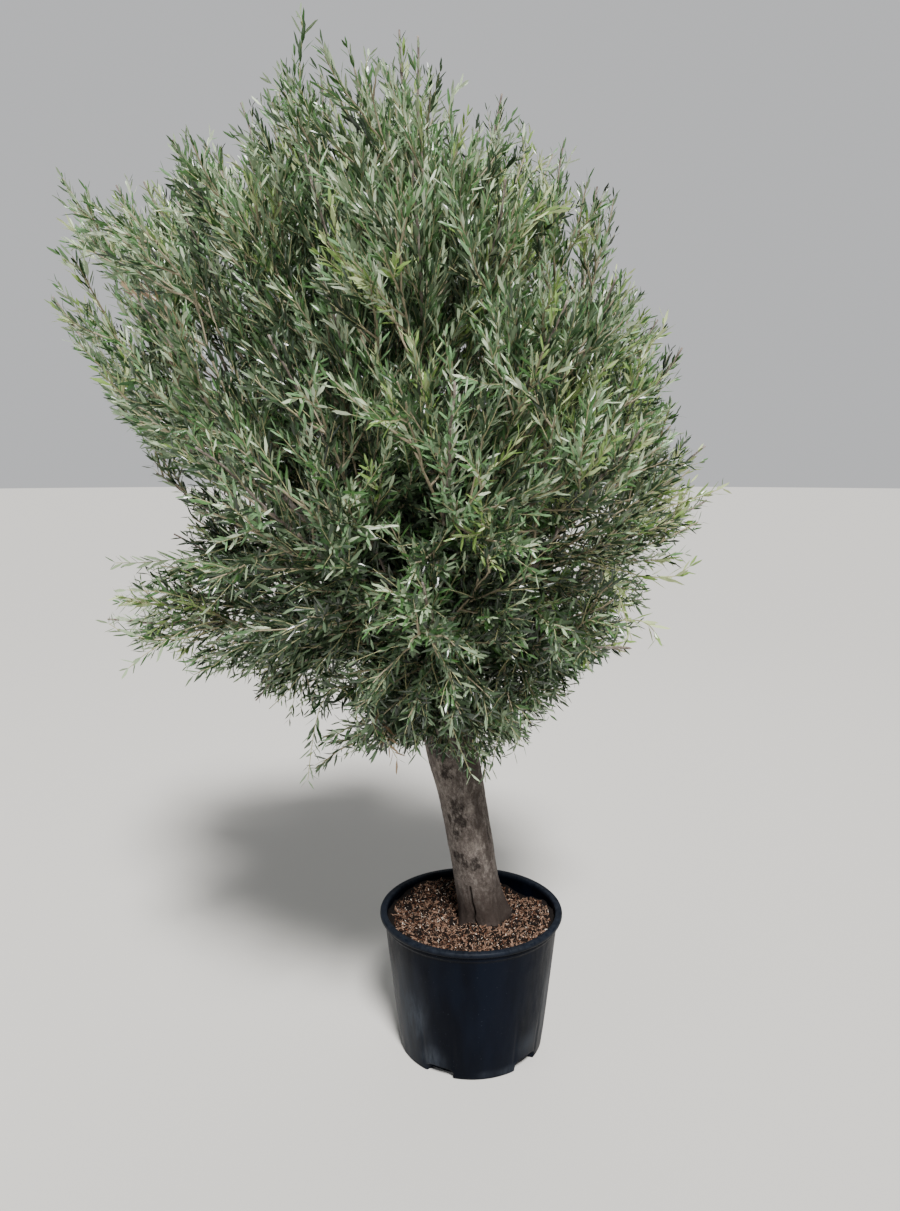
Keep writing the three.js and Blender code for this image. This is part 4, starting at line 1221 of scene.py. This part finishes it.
pot = {
    "height": 0.345, "rim": 0.225, "rimBand": 0.012, "lip": 0.017, "bead": 0.218, "beadBand": 0.012,
    "shoulder": 0.213, "foot": 0.178, "wall": 0.0036, "segments": 300, "notches": 5,
    "notchHeading": -116, "notchWidth": 0.068, "notchHeight": 0.024, "notchDepth": 0.020,
    "rimPaintedHighlight": 0.3, "corner": 0.004, "floor": 0.0042, "notchLining": 0.004,
    "creaseOut": 0.004, "creaseDepth": 0.0016, "creaseWidth": 0.0035, "waveDepth": 0.0011,
    "waves": [((0.06, 0.06, 0.16), 31, 1), ((0.025, 0.025, 0.09), 32, 0.5)],
    # patches of dust and painted sheen: heading, height, half width in degrees, half height, strength
    "dustAndSheen": [(-142, 0.13, 20, 0.14, 0.75), (-124, 0.045, 13, 0.035, 0.7), (-42, 0.06, 13, 0.035, 0.5),
             (-60, 0.012, 26, 0.012, 0.4), (-178, 0.16, 22, 0.12, 0.6), (100, 0.10, 30, 0.09, 0.7),
             (30, 0.14, 20, 0.12, 0.6), (-22, 0.15, 9, 0.12, 0.5)],
}
# noise as scale, detail and roughness
potFinish = {"roughness": 0.42, "specular": 0.07, "stretch": 0.22, "broad": (13, 3, 0.55),
             "streaks": (90, 7, 0.72), "specks": (260, 3, 0.6), "gloss": (0.36, 0.60),
             "relief": (0.22, 0.0012)}
notchHeadings = [math.radians(pot["notchHeading"] + i * 360 / pot["notches"])
                 for i in range(pot["notches"])]
beadTop = pot["height"] - pot["rimBand"]
shoulderHeight = beadTop - pot["beadBand"]


def notchMask(turns, heights, grown=0.0):
    # one inside a notch and nought outside, with a soft edge all round
    mask = np.zeros(np.broadcast(turns, heights).shape)
    for heading in notchHeadings:
        aside = np.abs(turnFrom(turns, heading)) * pot["foot"] / (pot["notchWidth"] / 2 + grown)
        above = np.maximum(heights, 0) / (pot["notchHeight"] + grown)
        away = (aside ** 4 + above ** 4) ** 0.25
        mask = np.maximum(mask, 1 - smooth(away, 0.86, 1.05))
    return mask


def potWall(turns, height):
    # radius of the outside wall, with its pockets, creases and slight waves
    heights = np.full_like(turns, height)
    plain = mix(pot["foot"], pot["shoulder"], np.clip(heights / shoulderHeight, 0, 1))
    flat = np.stack([np.cos(turns) * 0.2, np.sin(turns) * 0.2, heights], axis=-1)
    middle = smooth(heights, 0.0, 0.05) * (1 - smooth(heights, 0.26, 0.31))
    plain = plain + pot["waveDepth"] * layeredNoise(flat, pot["waves"]) * middle
    fade = smooth(heights, 0.012, 0.03) * (1 - smooth(heights, 0.05, 0.17))
    for heading in notchHeadings:
        for edge in (-1, 1):
            # a shallow crease rises from each corner of a notch
            lean = heading + edge * (pot["notchWidth"] / 2 + pot["creaseOut"]) / pot["foot"]
            aside = turnFrom(turns, lean) * pot["foot"]
            plain = plain - pot["creaseDepth"] * np.exp(-(aside / pot["creaseWidth"]) ** 2) * fade
    return plain - pot["notchDepth"] * notchMask(turns, heights)


def ringAt(turns, radius, height):
    # a ring of points round the pot's axis
    radius, height = np.broadcast_to(radius, turns.shape), np.broadcast_to(height, turns.shape)
    return np.stack([radius * np.cos(turns), radius * np.sin(turns), height], axis=-1)


def makePotMaterial():
    look = potFinish
    material, tree, shader = newMaterial("blackPlastic", colour(4, 8, 16), look["roughness"],
                                         look["specular"])
    place = put(tree, "ShaderNodeTexCoord").outputs["Object"]
    tall = stretched(tree, place, look["stretch"])
    streaks = noise(tree, tall, *look["streaks"])
    tone = ramp(tree, noise(tree, tall, *look["broad"]),
                [(0.40, colour(0, 3, 12)), (0.62, colour(4, 10, 23))])
    rubbed = ramp(tree, streaks, [(0.34, grey(0.10)), (0.70, grey(0.62))])
    # partly real dust and scuffs, partly a painted reflection of the room: pale blue-grey streaks in
    # patches on the sides
    dustAndSheen = times(tree, surfaceValue(tree, "dustAndSheen"), rubbed)
    tone = blendColours(tree, dustAndSheen, tone, colour(82, 89, 99))
    nick = ramp(tree, noise(tree, place, *look["specks"]), [(0.70, grey(0)), (0.76, grey(0.7))])
    tone = blendColours(tree, nick, tone, colour(70, 76, 84))
    dull, duller = look["gloss"]
    gloss = put(tree, "ShaderNodeMapRange", {"Value": streaks, 1: 0.35, 2: 0.75, 3: dull, 4: duller})
    tree.links.new(gloss.outputs[0], shader.inputs["Roughness"])
    finishShader(tree, shader, tone, streaks, *look["relief"])
    return material


def makePot():
    turns = np.linspace(0, 2 * math.pi, pot["segments"], endpoint=False)
    rim, bead, top, corner = pot["rim"], pot["bead"], pot["height"], pot["corner"]
    # underside, domed into each notch, with a round edge up to the wall
    lowRadius = potWall(turns, 0.0)
    rows = [(lowRadius * share, 0.0) for share in (0.3, 0.6, 0.8, 0.9)]
    for angle in (0, 30, 60):
        lift = corner * (1 - math.cos(math.radians(angle)))
        inset = corner * (1 - math.sin(math.radians(angle)))
        rows.append((potWall(turns, lift) - inset, lift))
    wallHeights = np.concatenate([np.linspace(corner, 0.036, 22),
                                  np.linspace(0.042, shoulderHeight, 40)])
    rows += [(potWall(turns, height), height) for height in wallHeights]
    # bead and lip, a little out of round
    wavy = 1 + 0.0016 * np.sin(2 * turns + 0.6) + 0.0008 * np.sin(5 * turns)
    edges = [(bead - 0.0016, shoulderHeight + 0.0004), (bead - 0.0004, shoulderHeight + 0.0014),
             (bead, shoulderHeight + 0.003), (bead, beadTop - 0.003),
             (bead - 0.0006, beadTop - 0.001), (rim - 0.003, beadTop - 0.0002),
             (rim - 0.0012, beadTop + 0.0010), (rim, beadTop + 0.0035),
             (rim, top - 0.0045), (rim - 0.0008, top - 0.0022),
             (rim - 0.0026, top - 0.0006), (rim - 0.005, top)]
    rows += [(radius * (1 - (1 - wavy) * 0.5), height) for radius, height in edges]
    # inside of the lip, the wall and the floor, which rises over each notch
    inner = rim - pot["lip"]
    rows += [(inner + 0.004, top), (inner + 0.0014, top - 0.0008), (inner, top - 0.003),
             (inner - 0.0004, top - 0.012)]
    rows += [(potWall(turns, height) - pot["wall"], height)
             for height in np.linspace(shoulderHeight - 0.004, 0.05, 24)]
    for height in np.linspace(0.044, pot["floor"], 14):
        inside = potWall(turns, height) - pot["wall"]
        rows.append((inside - pot["wall"] * notchMask(turns, height, pot["notchLining"]), height))
    rows.append((lowRadius * 0.5, pot["floor"]))
    points, faces = ringMesh(np.array([ringAt(turns, *row) for row in rows]))
    piece = meshPiece("nurseryPot", points, faces, materials=[makePotMaterial()])
    turn, height = np.arctan2(points[:, 1], points[:, 0]), points[:, 2]
    dustAndSheen = np.zeros(len(points))
    ragged = 0.35 * softNoise(points, (0.03, 0.03, 0.07), 34)
    # patches of real dust and scuffs, together with painted sheen on the pot's sides
    for heading, place, halfWidth, halfHeight, strength in pot["dustAndSheen"]:
        aside = turnFrom(np.degrees(turn), heading, 360)
        away = np.hypot(aside / halfWidth, (height - place) / halfHeight)
        dustAndSheen = np.maximum(dustAndSheen, strength * smooth(1.5 - away + ragged, 0.0, 1.5))
    # painted highlight along the top of the rim and lip
    rimHighlight = pot["rimPaintedHighlight"] * smooth(height, beadTop, top - 0.002)
    addValues(piece, "dustAndSheen", np.maximum(dustAndSheen, rimHighlight))
    finishPiece(piece, "pot", "pot")


makePot()
print("pot ready")


mulch = {
    "height": 0.3125, "edgeHeight": 0.321, "rings": 90, "sides": 180, "radius": 0.2068,
    "lump": 0.0055, "lumps": [(0.045, 41, 1), (0.018, 42, 0.6), (0.008, 43, 0.35)],
    "wallGap": 0.001, "notchRoom": 0.006, "bareRings": 6, "trunkRoom": 0.060, "chipTilt": 1.0,
    "bodyHeights": (0.29, 0.20, 0.10, 0.06, 0.045, 0.036, 0.030, 0.024, 0.014, 0.0048),
    # heaps and hollows: place, size and height
    "heaps": [((-0.10, 0.15), 0.075, 0.014), ((-0.17, 0.02), 0.070, 0.009), ((0.17, -0.02), 0.07, 0.005),
              ((0.13, 0.13), 0.060, -0.024), ((-0.040, -0.014), 0.024, -0.022)],
}
chips = {
    "russet": {"density": 15500, "tone": (86, 57, 42), "long": 0.0115, "seed": 3},
    "tan": {"density": 9000, "tone": (158, 131, 112), "long": 0.0100, "seed": 5},
    "umber": {"density": 22000, "tone": (24, 15, 11), "long": 0.0130, "seed": 7},
    "pale": {"density": 4800, "tone": (236, 220, 204), "long": 0.0080, "seed": 9},
    "fibre": {"density": 8500, "tone": (122, 96, 80), "long": 0.0190, "seed": 11},
}
# the chips' shapes: width, thickness, bend, whether they are splinters, and seed
chipShapes = [("flakeBroad", 0.32, 0.14, 0.05, False, 511), ("flakeNarrow", 0.20, 0.14, 0.0, False, 523),
              ("flakeThin", 0.34, 0.12, -0.04, False, 541),
              ("splinterShort", 0.15, 0.10, 0.08, True, 557),
              ("splinterLong", 0.10, 0.08, -0.06, True, 569), ("nugget", 0.40, 0.30, 0.0, False, 587)]


def mulchHeight(x, y):
    radius = np.hypot(x, y)
    flat = np.stack([x, y, np.zeros_like(x)], axis=-1).reshape(-1, 3)
    lumps = layeredNoise(flat, mulch["lumps"])
    height = mix(mulch["height"], mulch["edgeHeight"], smooth(radius, 0.11, 0.205))
    height = height + mulch["lump"] * lumps.reshape(np.shape(x))
    for (heapX, heapY), size, rise in mulch["heaps"]:
        height = height + rise * np.exp(-((x - heapX) ** 2 + (y - heapY) ** 2) / size ** 2)
    return height


def chipShape(name, width, thickness, bent, fibres, seed):
    # a split flake of bark of length 1 along +X, uneven along its edges
    dice = Dice(seed)
    steps = 3 if fibres else 2
    rows = []
    for i in range(steps + 1):
        along = i / steps - 0.5
        narrow = (0.35 if i in (0, steps) else 1) * dice.between(0.7, 1.15)
        half = width * narrow / 2
        deep = thickness * dice.between(0.7, 1.2) / 2
        lift = bent * (0.25 - along * along) * 4
        shift = dice.between(-0.15, 0.15) * width
        rows.append([(along, shift - half, lift), (along, shift - half * 0.3, lift + deep),
                     (along, shift + half, lift + deep * 0.4), (along, shift + half * 0.4, lift - deep)])
    points, faces = ringMesh(np.array(rows))
    return meshPiece(name, points, faces, smoothFaces=False)


def chipTree():
    tree, given, result = newTree("barkChips", [
        ("Chips", "Collection", None), ("Density", "Float", 1000.0), ("Length", "Float", 0.02),
        ("Tilt", "Float", 0.5), ("Seed", "Int", 1), ("Finish", "Material", None)])
    spread = put(tree, "GeometryNodeDistributePointsOnFaces", {
        "Mesh": given["Geometry"], "Density": given["Density"], "Seed": given["Seed"]})
    seeds = [given["Seed"]] + [plus(tree, given["Seed"], float(i)) for i in (1, 2, 3, 4)]
    turned = spin(tree, spread.outputs["Rotation"], (0, 0, 1), chanceValue(tree, 0.0, 6.283, seeds[1]))
    turned = spin(tree, turned, (0, 1, 0), eitherWay(tree, given["Tilt"], seeds[2]))
    turned = spin(tree, turned, (1, 0, 0), chanceValue(tree, -1.2, 1.2, seeds[3]))
    size = times(tree, given["Length"], chanceValue(tree, 0.5, 1.35, seeds[4]))
    placed = scatter(tree, spread.outputs["Points"], given["Chips"], len(chipShapes), seeds[0],
                     turned, size)
    tree.links.new(setFinish(tree, realMesh(tree, placed), given["Finish"]), result[0])
    return tree


def woodMaterial(name, tone, scale):
    material, tree, shader = newMaterial(name, colour(*tone), 0.85, 0.2)
    patch = noise(tree, put(tree, "ShaderNodeTexCoord").outputs["Object"], scale, 5, 0.7)
    darker = colour(*[value * 0.45 for value in tone])
    lighter = colour(*[min(255, value * 1.22) for value in tone])
    shade = ramp(tree, patch, [(0.36, darker), (0.52, colour(*tone)), (0.68, lighter)])
    finishShader(tree, shader, shade, patch, 0.5, 0.0008)
    return material


def makeMulch():
    sides = mulch["sides"]
    radii = mulch["radius"] * np.linspace(0.01, 1, mulch["rings"])
    turns = np.linspace(0, 2 * math.pi, sides, endpoint=False)
    radius, turn = np.meshgrid(radii, turns, indexing="ij")
    x, y = radius * np.cos(turn), radius * np.sin(turn)
    top = np.stack([x, y, mulchHeight(x, y)], axis=-1)
    # a body down to the pot's floor, clear of the pockets behind the notches
    below = []
    for height in mulch["bodyHeights"]:
        wall = potWall(turns, height) - pot["wall"] - mulch["wallGap"]
        wall = wall - pot["wall"] * notchMask(turns, height, mulch["notchRoom"])
        below.append(ringAt(turns, np.minimum(wall, mulch["radius"] - 0.0005), height))
    points, faces = ringMesh(np.concatenate([np.array(below)[::-1], top[::-1]]))
    soil = woodMaterial("mulchBed", (15, 9, 7), 180)
    bed = meshPiece("mulchBed", points, faces, materials=[soil])
    # chips lie on the part that shows, a little inside the wall and outside the trunk
    keepFaces = []
    limit = mulch["rings"] - mulch["bareRings"]
    grid = top[:limit].reshape(-1, 3)
    foot = rule["foot"]
    for i in range(limit - 1):
        for j in range(sides):
            corner = grid[i * sides + j]
            if math.hypot(corner[0] - foot.x, corner[1] - foot.y) > mulch["trunkRoom"]:
                nextOne = (j + 1) % sides
                keepFaces.append((i * sides + j, (i + 1) * sides + j, (i + 1) * sides + nextOne,
                                  i * sides + nextOne))
    ground = meshPiece("chipGround", grid, keepFaces)
    shapes = [chipShape(*row) for row in chipShapes]
    holder = shapeCollection("chipShapes", shapes)
    tree = chipTree()
    made = [bed]
    for name, chip in chips.items():
        finish = woodMaterial(name + "Chip", chip["tone"], 260)
        made.append(grow("mulch_" + name, ground, tree, {
            "Chips": holder, "Density": float(chip["density"]), "Length": chip["long"],
            "Tilt": mulch["chipTilt"], "Seed": chip["seed"], "Finish": finish}))
    discard(ground, *shapes)
    bpy.data.collections.remove(holder)
    for piece in made:
        finishPiece(piece, "mulch", "mulch")


makeMulch()
print("mulch ready")
